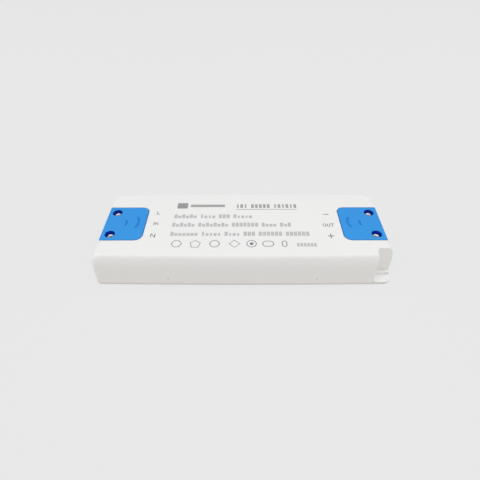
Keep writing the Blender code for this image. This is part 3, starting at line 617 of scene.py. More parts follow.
def fuse_body(name):
    s = Surface(name, specular=0.5, coat=0.4, coat_roughness=0.12)
    s.colour(s.ramp(s.noise(2.5, 3.0), [(0.3, (0.20, 0.17, 0.13, 1)), (0.7, (0.32, 0.28, 0.22, 1))]))
    s.roughness(s.remap(s.noise(1.0, 3.0), 0.2, 0.35))
    s.bump([(s.noise(1.5, 3.0), 0.02)])
    return s.mat


MATS["glass_fuse"] = fuse_body("glass_fuse")


def ink(name, colour):
    """Pad-printed ink: slightly uneven cover and a matt skin."""
    s = Surface(name, specular=0.3)
    s.colour(s.ramp(s.noise(0.7, 3.0, 0.6), [(0.3, shade(colour, 0.9)), (0.7, shade(colour, 1.12))]))
    s.roughness(s.remap(s.noise(0.6, 3.0), 0.5, 0.7))
    s.bump([(s.noise(0.3, 3.0), 0.002)])
    return s.mat


MATS["ink_dark"] = ink("ink_dark", srgb(86, 86, 86))
MATS["ink_grey"] = ink("ink_grey", srgb(118, 118, 118))
MATS["ink_light"] = ink("ink_light", srgb(150, 150, 150))
MATS["ink_mid"] = ink("ink_mid", srgb(163, 163, 163))
MATS["ink_pale"] = ink("ink_pale", srgb(189, 189, 189))

# ------------------------------------------------------------------ white shell
SIDES = (-1, 1)


def span(side, a, b):
    return (a, b) if side > 0 else (-b, -a)


def turned_in(z, amount, down):
    """How far an elliptical top edge has turned inward at height z."""
    t = max(0.0, (z - (TOP_Z - down)) / down)
    return amount * (1 - math.sqrt(max(0.0, 1 - t * t)))


def shell_outline(z, inset=0.0, seg=10, spans=32):
    """Rounded outline of the shell at height z; its long sides bow out a little towards mid length."""
    in_x = turned_in(z, EDGE_ENDS, EDGE_ENDS_DOWN)
    r = PLAN_R + 0.25 * in_x
    ex = SHELL_END - in_x - inset
    y0 = -(END_HALF_W - turned_in(z, EDGE_FRONT, EDGE_DOWN) - DRAFT_FRONT * z / CASE_H - inset)
    y1 = END_HALF_W - turned_in(z, EDGE_BACK, EDGE_DOWN) - inset
    corners = rect(-ex, ex, y0, y1, r, seg)
    n = seg + 1
    run = [2 * (ex - r) * k / spans - (ex - r) for k in range(1, spans)]
    points = corners[:n] + [Vector((x, y0)) for x in run] + corners[n:3 * n] + [Vector((-x, y1)) for x in run] + corners[3 * n:]
    return [Vector((p.x, p.y * (1 + CROWN / END_HALF_W * (1 - (p.x / SHELL_END) ** 2)))) for p in points]


def make_shell():
    levels = [(shell_outline(0.4 + drop, inset), 0.4 + drop) for inset, drop in ((0.50, 0.0), (0.24, 0.09), (0.07, 0.26), (0.0, 0.60))]
    levels.append((shell_outline(4.0), 4.0))
    levels.append((shell_outline(8.0), 8.0))
    steps = 26
    for k in range(steps + 1):
        z = TOP_Z - EDGE_ENDS_DOWN * (1 - math.sin(math.pi / 2 * k / steps))
        levels.append((shell_outline(z), z))
    levels.append((shell_outline(TOP_Z, 0.5), TOP_Z))
    shell = new_object("case_top_cover", loft(levels))

    # cavity, stepped in around the corner notch
    inner_x, inner_y = SHELL_END - 2.0, END_HALF_W - 2.0
    cut(shell, prism(fillet_outline([
        (-inner_x, -inner_y, 1.8),
        (NOTCH_X - NOTCH_WALL, -inner_y, 0.8),
        (NOTCH_X - NOTCH_WALL, NOTCH_Y + NOTCH_WALL, NOTCH_R + NOTCH_WALL),
        (inner_x, NOTCH_Y + NOTCH_WALL, 0.8),
        (inner_x, inner_y, 1.8),
        (-inner_x, inner_y, 1.8)], 8), -1.0, CASE_H - 2.0))

    # corner notch, its upper edge slightly broken
    def notch_outline(grow, z):
        edge = NOTCH_X + NOTCH_LEAN * (1 - z / CASE_H)
        pts = [Vector((85.0, NOTCH_Y + grow)), Vector((85.0, -35.0)), Vector((edge - 0.75 - grow, -35.0))]
        for k in range(9):
            t = math.radians(-78 + 78 * k / 8)
            pts.append(Vector((edge - 1.0 + math.cos(t) - grow, NOTCH_FRONT + 1.0 + math.sin(t))))
        for k in range(13):
            t = math.radians(180 - 90 * k / 12)
            r = NOTCH_R + grow
            pts.append(Vector((edge + NOTCH_R + r * math.cos(t), NOTCH_Y - NOTCH_R + r * math.sin(t))))
        return pts
    levels = [(0.0, -1.0)] + [
        (0.22 * (1 - math.cos(math.pi / 2 * k / 3)), TOP_Z - 0.22 + 0.22 * math.sin(math.pi / 2 * k / 3)) for k in range(4)
    ] + [(0.22, 25.0)]
    levels = [(notch_outline(grow, z), z) for grow, z in levels]
    cut(shell, loft(levels))

    for side in SIDES:
        x0, x1 = span(side, 53.0, 78.6)
        add(shell, box(x0, x1, -16.0, 16.0, 9.0, 17.0))
        x0, x1 = span(side, 53.0, 78.1)
        add(shell, box(x0, x1, -16.0, 16.0, 16.5, CASE_H - 1.4))

    for side in SIDES:
        # seat for the blue cover, open at the end face, with a broken upper edge
        r = COVER_R + GAP

        def seat(grow):
            x0, x1 = span(side, COVER_IN - GAP - grow, 85.0)
            radii = (r + grow, 0, 0, r + grow) if side > 0 else (0, r + grow, r + grow, 0)
            return rect(x0, x1, -COVER_HW - GAP - grow, COVER_HW + GAP + grow, radii, 14)
        levels = [(seat(0.0), 10.0)] + [
            (seat(0.2 * (1 - math.cos(math.pi / 2 * k / 3))), TOP_Z - 0.2 + 0.2 * math.sin(math.pi / 2 * k / 3)) for k in range(4)
        ] + [(seat(0.2), 25.0)]
        cut(shell, loft(levels))
        x0, x1 = span(side, COVER_IN + 1.1, 85.0)
        radii = (3.0, 0, 0, 3.0) if side > 0 else (0, 3.0, 3.0, 0)
        cut(shell, prism(rect(x0, x1, -COVER_HW + 1.1, COVER_HW - 1.1, radii, 8), RIM_Z + GAP, 11.0))
        x0, x1 = span(side, COVER_OUT - 2.2, 85.0)
        cut(shell, box(x0, x1, -COVER_HW - GAP, COVER_HW + GAP, RIM_Z + GAP, 11.0))
        x0, x1 = span(side, 76.6, 85.0)
        front = -26.5 if side < 0 else -27.0
        cut(shell, box(x0, x1, front, 23.2, -1.0, RIM_Z + GAP))

    # foot over the base's ledge
    cut(shell, box(68.0, 85.0, NOTCH_Y - 0.1, -17.2, -1.0, FOOT_Z))
    cut(shell, box(NOTCH_X + NOTCH_LEAN, 85.0, NOTCH_Y - 3.0, NOTCH_Y + 0.2, -1.0, FOOT_Z))

    # pockets for the snap hooks, and the small dimples they leave outside
    pockets, dimples = [], []
    for x in (-40.5, 40.5):
        for side in SIDES:
            y0, y1 = (25.5, 27.1) if side > 0 else (-27.1, -25.5)
            pockets.append(box(x - 3.4, x + 3.4, y0, y1, 4.4, 7.4))
            tip = turned([(0, -0.56), (0.34, -0.52), (0.50, -0.24), (0.58, 0.04), (0.64, 0.5), (0, 0.5)], 28)
            wall_y = END_HALF_W + CROWN * (1 - (x / SHELL_END) ** 2)
            dimples.append(moved(tip, x * 0.99 - 0.3, side * wall_y, DIMPLE_Z, rot=Matrix.Rotation(math.radians(90 if side < 0 else -90), 3, "X")))
    cut_all(shell, pockets)
    cut_all(shell, dimples)
    return shell


shell = tidy(make_shell(), [MATS["white_plastic"], MATS["white_painted_seat_shadow"], MATS["white_painted_dimple_shade"]])
for poly in shell.data.polygons:
    c = poly.center / MM
    # walls of the cover seats take the dark bluish white of slot 1: a painted shadow along the covers
    if abs(poly.normal.z) < 0.3 and COVER_IN - 1.0 < abs(c.x) < 80.2 and abs(c.y) < COVER_HW + 0.7 and CASE_H - 3.0 < c.z < CASE_H - 0.25:
        poly.material_index = 1
    # dimple faces take the darker white of slot 2: painted shade in the dimples
    elif abs(c.y) > 27.3 and all(math.hypot(abs(v.x + 0.3) - 40.1, v.z - DIMPLE_Z) < 0.68
                                 for v in (shell.data.vertices[i].co / MM for i in poly.vertices)):
        poly.material_index = 2
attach(shell, "root")
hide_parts("top_cover")


# ------------------------------------------------------------------ base tray
def make_base():
    plate_y = END_HALF_W - 2.0 - GAP
    base = new_object("case_base_tray", soft_prism([
        (-77.55, -plate_y, 1.6), (NOTCH_X - NOTCH_WALL - GAP, -plate_y, 0.5), (NOTCH_X - NOTCH_WALL - GAP, NOTCH_Y + 0.2, 0.5),
        (77.55, NOTCH_Y + 0.2, 0.5), (77.55, plate_y, 1.6), (-77.55, plate_y, 1.6)], 0.0, 2.0, 0.15, 0.3, 6, 3))
    # end walls
    add(base, soft_prism(corners_of(-80.5, -76.9, -26.2, 22.9, (1.6, 0.5, 0.5, 0.9)), 0.0, RIM_Z, 0.25, 0.35, 8, 4))
    add(base, soft_prism(corners_of(76.9, 80.5, -17.6, 22.9, (0.5, 0.6, 0.9, 0.5)), 0.0, RIM_Z, 0.25, 0.35, 6, 3))
    # the ledge across the foot of the notch, and the lip behind it
    add(base, soft_prism(corners_of(NOTCH_X + NOTCH_LEAN + 0.10, 80.47, LEDGE_Y, -17.0, (0.4, 0.7, 0.5, 0.5)), 0.05, LEDGE_Z, 0.2, 0.0, 6, 3))
    add(base, soft_prism(corners_of(68.4, 80.3, NOTCH_Y + 0.55, -17.5, 0.4), LEDGE_Z - 1.0, FOOT_Z - GAP, 0.1, 0.0, 4, 2))
    # the thin quarter-round ear
    add(base, soft_prism([
        (NOTCH_X + NOTCH_LEAN + 0.12, EAR_FRONT, 0.36), (EAR_END - 0.03, EAR_FRONT, EAR_R), (EAR_END - 0.03, -18.6, 0.5), (NOTCH_X + NOTCH_LEAN + 0.12, -18.6, 0.36)],
        0.0, EAR_T, 0.3, 0.25, 14, 4))
    for side in SIDES:
        for y in (-SCREW_Y, SCREW_Y):
            add(base, prism(circle(side * SCREW_X, y, 3.0, 40), 1.0, 12.1))
        x0, x1 = span(side, 70.8, 72.3)
        add(base, soft_prism(corners_of(x0, x1, -4.6, 4.6, 0.3), 1.0, 4.8, 0.3, 0.0, 4, 3))
    rests = [soft_prism(corners_of(x - 1.5, x + 1.5, y - 1.5, y + 1.5, 0.3), 1.0, 3.7, 0.2, 0.0, 3, 2)
             for x in (-60.0, -20.0, 20.0, 60.0) for y in (-21.2, 21.2)]
    add(base, joined(rests))
    hooks = []
    for x in (-40.5, 40.5):
        for side in SIDES:
            hook = [(24.0, 1.0), (25.4, 1.0), (25.4, 5.0), (26.25, 5.05), (26.4, 5.2), (26.3, 5.45), (25.4, 7.0), (24.2, 7.0), (24.0, 6.8)]
            bm = bmesh.new()
            rings = [[bm.verts.new(((x + dx) * MM, side * y * MM, z * MM)) for y, z in hook] for dx in (-3.0, 3.0)]
            bm.faces.new(rings[0])
            bm.faces.new(list(reversed(rings[1])))
            for i in range(len(hook)):
                j = (i + 1) % len(hook)
                bm.faces.new((rings[0][i], rings[1][i], rings[1][j], rings[0][j]))
            bmesh.ops.recalc_face_normals(bm, faces=bm.faces)
            hooks.append(bm)
    add(base, joined(hooks))
    cut_all(base, [prism(circle(side * SCREW_X, y, 1.65, 28), 3.2, 14.0) for side in SIDES for y in (-SCREW_Y, SCREW_Y)])
    return base


base = tidy(make_base(), [MATS["white_base_painted_light"]])
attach(base, "root")
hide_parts("base_tray")


# ------------------------------------------------------------------ blue terminal covers
def arc_groove(side, cx, radius, half_angle, width, depth, seg=22):
    """Curved groove with a rounded bottom edge and round ends, as a closed cutter."""
    centre = [(cx, radius)]
    def outline(w):
        pts = []
        for k in range(seg + 1):
            t = math.radians(-half_angle + 2 * half_angle * k / seg)
            pts.append((cx - (radius + w) * math.cos(t), (radius + w) * math.sin(t)))
        for end in (1,):
            t0 = math.radians(half_angle)
            mid = Vector((cx - radius * math.cos(t0), radius * math.sin(t0)))
            for k in range(1, 8):
                a = math.pi * k / 8
                direction = Vector((-math.cos(t0), math.sin(t0))) * math.cos(a) + Vector((math.sin(t0), math.cos(t0))) * math.sin(a)
                pts.append(tuple(mid + direction * w))
        for k in range(seg + 1):
            t = math.radians(half_angle - 2 * half_angle * k / seg)
            pts.append((cx - (radius - w) * math.cos(t), (radius - w) * math.sin(t)))
        t0 = math.radians(-half_angle)
        mid = Vector((cx - radius * math.cos(t0), radius * math.sin(t0)))
        for k in range(1, 8):
            a = math.pi * k / 8
            direction = Vector((math.cos(t0), -math.sin(t0))) * math.cos(a) + Vector((-math.sin(t0), -math.cos(t0))) * math.sin(a)
            pts.append(tuple(mid + direction * w))
        return [Vector((side * x, y)) for x, y in pts]
    levels = []
    for k in range(5):
        a = math.pi / 2 * k / 4
        levels.append((outline(width / 2 * (0.25 + 0.75 * math.sin(a))), CASE_H - depth + depth * 0.75 * (1 - math.cos(a))))
    levels.append((outline(width / 2 + 0.04), CASE_H))
    levels.append((outline(width / 2 + 0.04), CASE_H + 1.0))
    return loft(levels)


def make_cover(side, name):
    def corners(out_in, r_in, r_out, hw, x_out):
        x0, x1 = span(side, out_in, x_out)
        return corners_of(x0, x1, -hw, hw, (r_in, r_out, r_out, r_in) if side > 0 else (r_out, r_in, r_in, r_out))
    obj = new_object(name, soft_prism(corners(COVER_IN, COVER_R, 0.35, COVER_HW, COVER_OUT), 10.3, CASE_H, 0.28, 0.0, 14, 4))
    x0, x1 = span(side, COVER_IN + 1.2, COVER_OUT - 1.6)
    radii = (2.9, 0.6, 0.6, 2.9) if side > 0 else (0.6, 2.9, 2.9, 0.6)
    cut(obj, prism(rect(x0, x1, -COVER_HW + 1.2, COVER_HW - 1.2, radii, 10), 9.0, CASE_H - 1.8))
    x0, x1 = span(side, COVER_OUT - 1.6, COVER_OUT - 0.05)
    add(obj, soft_prism(corners_of(x0, x1, -COVER_HW + 0.05, COVER_HW - 0.05, 0.25), RIM_Z + 0.6, 11.0, 0.0, 0.2, 4, 3))
    for y in (-SCREW_Y, SCREW_Y):
        add(obj, prism(circle(side * SCREW_X, y, 4.0, 40), 12.4, CASE_H - 1.0))
    x0, x1 = span(side, 69.6, 71.1)
    add(obj, soft_prism(corners_of(x0, x1, -4.6, 4.6, 0.3), 11.6, CASE_H - 1.0, 0.0, 0.3, 4, 3))
    # cable arch, its outer edge flared
    turn = Matrix(((0, 0, 1), (1, 0, 0), (0, 1, 0)))

    def arch(grow):
        return fillet_outline([(-5.6 - grow, 2.0, 0), (5.6 + grow, 2.0, 0), (5.6 + grow, 11.0 + grow, 3.2 + grow), (-5.6 - grow, 11.0 + grow, 3.2 + grow)], 12)
    far, near = COVER_OUT - 3.0, COVER_OUT + 2.0
    face = COVER_OUT - 0.05
    levels = [(arch(0.0), far), (arch(0.0), face - 0.3)] + [
        (arch(0.3 * (1 - math.cos(math.pi / 2 * k / 3))), face - 0.3 + 0.3 * math.sin(math.pi / 2 * k / 3)) for k in range(1, 4)] + [(arch(0.3), near)]
    bm = loft(levels)
    moved(bm, rot=turn)
    if side < 0:
        bmesh.ops.scale(bm, vec=(-1, 1, 1), verts=bm.verts)
        bmesh.ops.reverse_faces(bm, faces=bm.faces)
    cut(obj, bm)
    # counterbored screw holes, their mouths slightly rounded
    for y in (-SCREW_Y, SCREW_Y):
        mouth = CASE_H - 0.2
        profile = [(0, SEAT_Z), (2.62, SEAT_Z), (2.70, SEAT_Z + 0.04), (2.74, SEAT_Z + 0.15), (2.75, SEAT_Z + 0.4), (2.75, mouth)] + [
            (2.75 + 0.2 * (1 - math.cos(math.pi / 2 * k / 4)), mouth + 0.2 * math.sin(math.pi / 2 * k / 4)) for k in range(1, 5)] + [
            (2.95, CASE_H + 1.0), (0, CASE_H + 1.0)]
        cut(obj, moved(turned(profile, 72), side * SCREW_X, y, 0))
        cut(obj, prism(circle(side * SCREW_X, y, 1.65, 32), 12.0, SEAT_Z + 0.5))
    cut(obj, moved(arc_groove(side, 66.8, 8.0, 29.0, 1.25, 0.55), 0.0, 0.5, 0.0))
    cut(obj, arc_groove(side, 69.1, 3.6, 28.0, 1.0, 0.50, 16))
    tidy(obj, [MATS["blue_plastic"], MATS["blue_painted_hole_shade"], MATS["blue_painted_groove_shade"], MATS["blue_painted_edge_shade"]])
    for poly in obj.data.polygons:
        c = poly.center / MM
        # faces inside the counterbores take the deep dark blue of slot 1: painted shade in the screw holes
        for y in (-SCREW_Y, SCREW_Y):
            if math.hypot(c.x - side * SCREW_X, c.y - y) < 2.80 and 12.3 < c.z < CASE_H - 0.2:
                poly.material_index = 1
        # faces in the arc grooves take the darker blue of slot 2: painted shade in the grooves
        if CASE_H - 0.7 < c.z < CASE_H - 0.02 and 57.0 < abs(c.x) < 68.0 and abs(c.y) < 6.0:
            poly.material_index = 2
        # faces of the rounded top edge along the cover's inner end and long sides take the darker blue of slot 3: a
        # painted shadow line
        if poly.normal.z < 0.95 and c.z > CASE_H - 0.9 and (abs(c.y) > COVER_HW - 0.45 or abs(c.x) < COVER_IN + 0.45 or (
                abs(c.x) < COVER_IN + COVER_R and abs(c.y) > COVER_HW - COVER_R)):
            poly.material_index = 3
    return obj


for side, end in ((-1, "input"), (1, "output")):
    obj = make_cover(side, f"blue_cover_{end}")
    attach(obj, "root")
    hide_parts(f"{end}_terminal_cover")


# ------------------------------------------------------------------ cover screws
def make_screw(name, x, y, z_seat, turn, head_r=1.85, head_h=1.6, shank_r=1.3, length=11.0):
    top = z_seat + head_h
    # shallow dished head with a rolled rim
    profile = [(0, top - 0.33), (head_r * 0.44, top - 0.32), (head_r * 0.52, top - 0.30)]
    profile += [(head_r * (0.52 + 0.26 * k / 4), top - 0.30 + 0.26 * math.sin(math.pi / 2 * k / 4) ** 1.3) for k in range(1, 5)]
    profile += [(head_r * (0.86 + 0.14 * math.sin(math.pi / 2 * k / 5)), top - 0.34 * (1 - math.cos(math.pi / 2 * k / 5))) for k in range(6)]
    profile += [(head_r, top - 1.25), (head_r - 0.03, z_seat + 0.08), (head_r - 0.14, z_seat), (shank_r * 0.86, z_seat)]
    z = z_seat - 0.5
    core, crest = shank_r * 0.80, shank_r
    while z > z_seat - length + 1.6:
        profile += [(core, z), (core, z - 0.22), (crest, z - 0.42), (crest, z - 0.48), (core, z - 0.68)]
        z -= 0.9
    profile += [(core, z), (core * 0.6, z_seat - length + 0.7), (0.15, z_seat - length), (0, z_seat - length)]
    obj = new_object(name, turned(profile, 56))
    # cross recess, wider at the top than at the bottom
    levels = []
    for arm, half, z in ((0.30, 0.10, top - 1.0), (0.62, 0.20, top - 0.80), (1.20, 0.30, top - 0.05), (1.26, 0.33, top + 0.6)):
        pts = []
        for q in range(4):
            c, s = math.cos(math.pi / 2 * q), math.sin(math.pi / 2 * q)
            for px, py in ((half * 1.25, -half), (arm - half * 0.3, -half), (arm, -half * 0.55), (arm, half * 0.55), (arm - half * 0.3, half)):
                pts.append(Vector((px * c - py * s, px * s + py * c)))
        levels.append((pts, z))
    cut(obj, loft(levels))
    bm = bmesh.new()
    bm.from_mesh(obj.data)
    moved(bm, x, y, 0.0, rot=Matrix.Rotation(math.radians(turn), 3, "Z"))
    bm.to_mesh(obj.data)
    bm.free()
    tidy(obj, [MATS["zinc"], MATS["recess"], MATS["worn_brass"]], 32.0)
    for poly in obj.data.polygons:
        c = poly.center / MM
        away = math.hypot(c.x - x, c.y - y)
        # faces of the cross recess take the dark brown of slot 1: painted shade in the recess
        if away < 1.3 and top - 1.1 < c.z < top - 0.02 and (abs(poly.normal.z) < 0.55 or c.z < top - 0.5):
            poly.material_index = 1
        elif away < head_r * 0.58 and c.z > top - 0.4:
            poly.material_index = 2
    return obj


for side, end in ((-1, "input"), (1, "output")):
    for y, where, turn in ((-SCREW_Y, "front", 24), (SCREW_Y, "back", -37)):
        obj = make_screw(f"terminal_screw_{end}_{where}", side * SCREW_X, y, SEAT_Z + GAP, turn + 19 * side)
        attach(obj, "root")
        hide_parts(f"cover_screw_{end}_{where}")


# ------------------------------------------------------------------ printing on the top face
INK_LOW, INK_HIGH = TOP_Z - 0.02, TOP_Z + 0.015


def stroke(points, width):
    """Closed outline round an open polyline, with mitred corners and square ends."""
    pts = [Vector(p) for p in points]
    left, right = [], []
    for i, p in enumerate(pts):
        before = (p - pts[i - 1]).normalized() if i > 0 else None
        after = (pts[i + 1] - p).normalized() if i < len(pts) - 1 else None
        d0 = before or after
        d1 = after or before
        n0, n1 = Vector((-d0.y, d0.x)), Vector((-d1.y, d1.x))
        m = (n0 + n1).normalized()
        m = m * (1.0 / max(0.35, m.dot(n0)))
        left.append(p + m * width / 2)
        right.append(p - m * width / 2)
    return left + list(reversed(right))


def ring(outer, inner):
    """Flat closed ring between two outlines with equal point counts."""
    bm = bmesh.new()
    rows = [[bm.verts.new((p.x * MM, p.y * MM, z * MM)) for p in outline] for outline, z in
            ((outer, INK_LOW), (outer, INK_HIGH), (inner, INK_HIGH), (inner, INK_LOW))]
    n = len(outer)
    for a, b in zip(rows, rows[1:] + rows[:1]):
        for i in range(n):
            j = (i + 1) % n
            bm.faces.new((a[i], a[j], b[j], b[i]))
    bmesh.ops.recalc_face_normals(bm, faces=bm.faces)
    return bm


def flat(outline):
    area = sum(p.x * q.y - q.x * p.y for p, q in zip(outline, outline[1:] + outline[:1]))
    if area < 0:
        outline = list(reversed(outline))
    return prism(outline, INK_LOW, INK_HIGH)


def print_piece(name, parts, mat):
    obj = new_object(name, joined(parts))
    tidy(obj, [MATS[mat]], 35.0, weighted=False)
    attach(obj, "root")
    return obj


def polygon_ring(cx, cy, r, n, width, phase=0.0, squash=1.0):
    outer = [Vector((cx + (r + width / 2) * math.cos(2 * math.pi * (k + phase) / n), cy + squash * (r + width / 2) * math.sin(2 * math.pi * (k + phase) / n))) for k in range(n)]
    inner = [Vector((cx + (r - width / 2) * math.cos(2 * math.pi * (k + phase) / n), cy + squash * (r - width / 2) * math.sin(2 * math.pi * (k + phase) / n))) for k in range(n)]
    return ring(outer, inner)


def rounded_ring(cx, cy, w, h, r, width, seg=5):
    outer = rect(cx - w / 2, cx + w / 2, cy - h / 2, cy + h / 2, r, seg)
    inner = rect(cx - w / 2 + width, cx + w / 2 - width, cy - h / 2 + width, cy + h / 2 - width, max(0.05, r - width), seg)
    return ring(outer, inner)


def letter(kind, cx, cy, w, h, t):
    """Plain line letters and signs for the terminals, built from single strokes."""
    x0, x1, y0, y1 = cx - w / 2 + t / 2, cx + w / 2 - t / 2, cy - h / 2 + t / 2, cy + h / 2 - t / 2
    if kind == "L":
        return [flat(stroke([(x0, y1 + t / 2), (x0, y0), (x1 + t / 2, y0)], t))]
    if kind == "I":
        return [flat(stroke([(cx, y0 - t / 2), (cx, y1 + t / 2)], t))]
    if kind == "N":
        return [flat([Vector(p) for p in (
            (x0 - t / 2, y0 - t / 2), (x0 + t / 2, y0 - t / 2), (x0 + t / 2, y1 - t * 0.9), (x1 - t / 2, y0 - t / 2), (x1 + t / 2, y0 - t / 2),
            (x1 + t / 2, y1 + t / 2), (x1 - t / 2, y1 + t / 2), (x1 - t / 2, y0 + t * 0.9), (x0 + t / 2, y1 + t / 2), (x0 - t / 2, y1 + t / 2))])]
    if kind == "O":
        return [ring(*[[Vector((cx + rx * math.cos(2 * math.pi * k / 32), cy + ry * math.sin(2 * math.pi * k / 32))) for k in range(32)]
                       for rx, ry in ((w / 2, h / 2), (w / 2 - t, h / 2 - t))])]
    if kind == "U":
        r = (x1 - x0) / 2
        pts = [(x0, y1 + t / 2), (x0, y0 + r)]
        pts += [(cx - r * math.cos(math.pi * k / 10), y0 + r - r * math.sin(math.pi * k / 10)) for k in range(1, 10)]
        pts += [(x1, y0 + r), (x1, y1 + t / 2)]
        return [flat(stroke(pts, t))]
    if kind == "T":
        return [flat([Vector(p) for p in (
            (cx - t / 2, y0 - t / 2), (cx + t / 2, y0 - t / 2), (cx + t / 2, y1 - t / 2), (x1 + t / 2, y1 - t / 2), (x1 + t / 2, y1 + t / 2),
            (x0 - t / 2, y1 + t / 2), (x0 - t / 2, y1 - t / 2), (cx - t / 2, y1 - t / 2))])]
    if kind == "-":
        return [flat(rect(cx - w / 2, cx + w / 2, cy - t / 2, cy + t / 2))]
    if kind == "+":
        a, b = w / 2, h / 2
        return [flat([Vector(p) for p in (
            (cx - t / 2, cy - b), (cx + t / 2, cy - b), (cx + t / 2, cy - t / 2), (cx + a, cy - t / 2), (cx + a, cy + t / 2), (cx + t / 2, cy + t / 2),
            (cx + t / 2, cy + b), (cx - t / 2, cy + b), (cx - t / 2, cy + t / 2), (cx - a, cy + t / 2), (cx - a, cy - t / 2), (cx - t / 2, cy - t / 2))])]


print_piece("print_input_marks",
            letter("L", -48.9, 8.9, 1.7, 2.7, 0.38) + letter("I", -50.15, -0.5, 0.36, 2.4, 0.36) + letter("N", -48.6, -0.5, 1.85, 2.4, 0.34)
            + letter("N", -49.05, -10.4, 2.55, 3.0, 0.42), "ink_dark")
print_piece("print_output_marks",
            letter("-", 47.8, 7.6, 3.0, 0.5, 0.5) + letter("O", 45.55, -1.9, 2.05, 2.6, 0.35) + letter("U", 47.85, -1.9, 1.7, 2.6, 0.35)
            + letter("T", 49.95, -1.9, 1.8, 2.6, 0.35) + letter("+", 47.65, -10.9, 3.5, 3.5, 0.48), "ink_dark")


def word_row(x_start, x_end, y0, cap, words, gap=0.42, low=0.68, radius=0.3):
    """A line of print as groups of small soft blocks, one for each sign, low and tall by turns."""
    parts = []
    step = (x_end - x_start) / (sum(words) + 0.75 * (len(words) - 1))
    x, count = x_start, 0
    for word in words:
        for k in range(word):
            turn = (count * 37 + word * 11 + k * 5) % 12
            narrow = 0.30 * step if turn in (2, 9) else 0.0
            tall = k == 0 or turn in (1, 6, 7, 10)
            parts.append(flat(rect(x + gap / 2 + narrow / 2, x + step - gap / 2 - narrow / 2, y0, y0 + cap * (1.0 if tall else low), radius, 3)))
            x += step
            count += 1
        x += step * 0.75
    return parts


print_piece("print_heading", word_row(-4.2, 31.8, 13.5, 3.6, (3, 5, 6), 0.70, 1.0, 0.35), "ink_mid")
print_piece("print_underline", [flat(rect(-4.1, 31.5, 11.88, 12.28))], "ink_light")
print_piece("print_rating_lines",
            word_row(-39.6, 5.4, 4.2, 3.4, (6, 4, 3, 5))
            + word_row(-39.8, 27.0, -3.2, 3.4, (6, 8, 7, 4, 3))
            + word_row(-39.9, 36.4, -10.8, 3.4, (7, 5, 4, 3, 6, 6)), "ink_pale")
print_piece("print_field", [flat(rect(-38.7, -32.5, 13.1, 18.3, 0.7, 5))], "ink_light")
print_piece("print_field_bar", [flat(rect(-30.9, -10.6, 14.4, 16.8, 0.5, 5))], "ink_mid")

sy = -17.0
fine = 0.42
print_piece("print_symbols_left",
            [polygon_ring(-35.4, sy, 2.7, 6, fine, 0.0), polygon_ring(-25.4, sy - 0.3, 2.9, 5, fine, 0.25),
             polygon_ring(-4.5, sy, 2.8, 4, fine, 0.0), rounded_ring(13.4, sy, 6.2, 4.4, 2.1, fine, 8)], "ink_grey")
print_piece("print_symbols_right",
            [polygon_ring(-15.1, sy, 2.5, 40, 0.42), polygon_ring(4.6, sy, 2.5, 40, 0.42), flat(circle(4.6, sy, 1.0, 28)),
             rounded_ring(22.1, sy, 2.7, 4.7, 1.3, 0.42, 8)], "ink_grey")
print_piece("print_lot_bars", word_row(28.4, 39.2, -19.2, 2.7, (6,), 0.42, 1.0), "ink_pale")

# ------------------------------------------------------------------ materials of the pieces kept from the frame
slots = {part["node"]: part["material_slot"] for part in frame["record"]["subparts"]}
for name, obj in frame["nodes"].items():
    obj.data.materials.clear()
    obj.data.materials.append(MATS[slots[name]])

# ------------------------------------------------------------------ floor
floor_bm = bmesh.new()
bmesh.ops.create_grid(floor_bm, x_segments=8, y_segments=8, size=3.0)
floor = new_object("studio_floor", floor_bm)
floor.location.z = -0.00006
fs = Surface("studio_floor", specular=0.0)
tone = fs.ramp(fs.noise(400.0, 1.0), [(0.3, (0.100, 0.100, 0.100, 1)), (0.7, (0.102, 0.102, 0.102, 1))])
fs.colour(tone)
fs.bsdf.inputs["Roughness"].default_value = 1.0
fs.bsdf.inputs["Emission Color"].default_value = (1.0, 1.0, 1.0, 1.0)
fs.bsdf.inputs["Emission Strength"].default_value = 0.705
floor.data.materials.append(fs.mat)

# ------------------------------------------------------------------ light
world = bpy.data.worlds.new("studio")
bpy.context.scene.world = world
world.use_nodes = True
world.node_tree.nodes["Background"].inputs["Color"].default_value = (1.0, 1.0, 1.0, 1.0)
world.node_tree.nodes["Background"].inputs["Strength"].default_value = 0.335


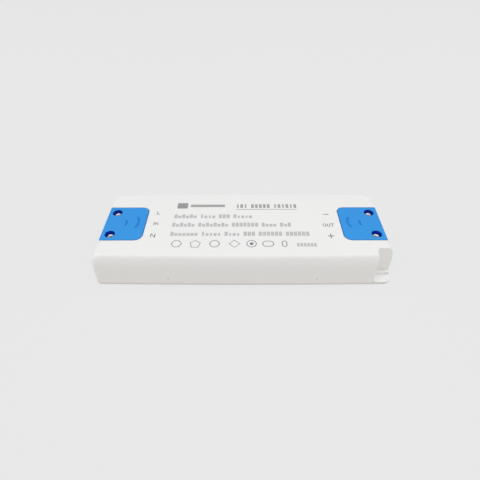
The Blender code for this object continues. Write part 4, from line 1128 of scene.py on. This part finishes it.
def softbox(name, where, aim, size, power, colour=(1.0, 1.0, 1.0)):
    data = bpy.data.lights.new(name, "AREA")
    data.color = colour
    data.shape = "RECTANGLE"
    data.size, data.size_y = size
    data.energy = power
    obj = bpy.data.objects.new(name, data)
    obj.location = where
    direction = Vector(aim) - Vector(where)
    obj.rotation_mode = "QUATERNION"
    obj.rotation_quaternion = direction.to_track_quat("-Z", "Y")
    bpy.context.scene.collection.objects.link(obj)
    return obj


softbox("overhead", (0.0, -0.22, 1.2), (0.0, 0.0, 0.0), (2.6, 2.2), 21.2)
softbox("front_fill", (0.0, -1.4, 0.22), (0.0, 0.0, 0.01), (1.6, 0.5), 0.8, (1.0, 0.56, 0.20))
softbox("left_fill", (-1.3, 0.2, 0.30), (0.0, 0.0, 0.01), (0.9, 0.6), 2.9, (0.97, 0.99, 1.0))
softbox("right_fill", (1.3, 0.2, 0.30), (0.0, 0.0, 0.01), (0.9, 0.6), 2.9, (0.97, 0.99, 1.0))

# ------------------------------------------------------------------ camera
FOCAL = 382.84            # in pixels of a 480-pixel-wide picture
PITCH, YAW, ROLL = math.radians(42.956), math.radians(-0.593), math.radians(-0.443)
forward = Vector((math.sin(YAW) * math.cos(PITCH), math.cos(YAW) * math.cos(PITCH), -math.sin(PITCH)))
right = Vector((math.cos(YAW), -math.sin(YAW), 0.0))
up = right.cross(forward)
right, up = math.cos(ROLL) * right + math.sin(ROLL) * up, -math.sin(ROLL) * right + math.cos(ROLL) * up
cam_data = bpy.data.cameras.new("camera")
cam_data.sensor_fit = "HORIZONTAL"
cam_data.sensor_width = 36.0
cam_data.lens = FOCAL * 36.0 / 480.0
cam_data.clip_start = 0.01
cam_data.clip_end = 20.0
camera = bpy.data.objects.new("camera", cam_data)
camera.matrix_world = Matrix((
    (right.x, up.x, -forward.x, -0.000021),
    (right.y, up.y, -forward.y, -0.164292),
    (right.z, up.z, -forward.z, 0.160504),
    (0, 0, 0, 1)))
bpy.context.scene.collection.objects.link(camera)
bpy.context.scene.camera = camera
bpy.context.scene.view_settings.view_transform = "Standard"
bpy.context.scene.view_settings.look = "None"
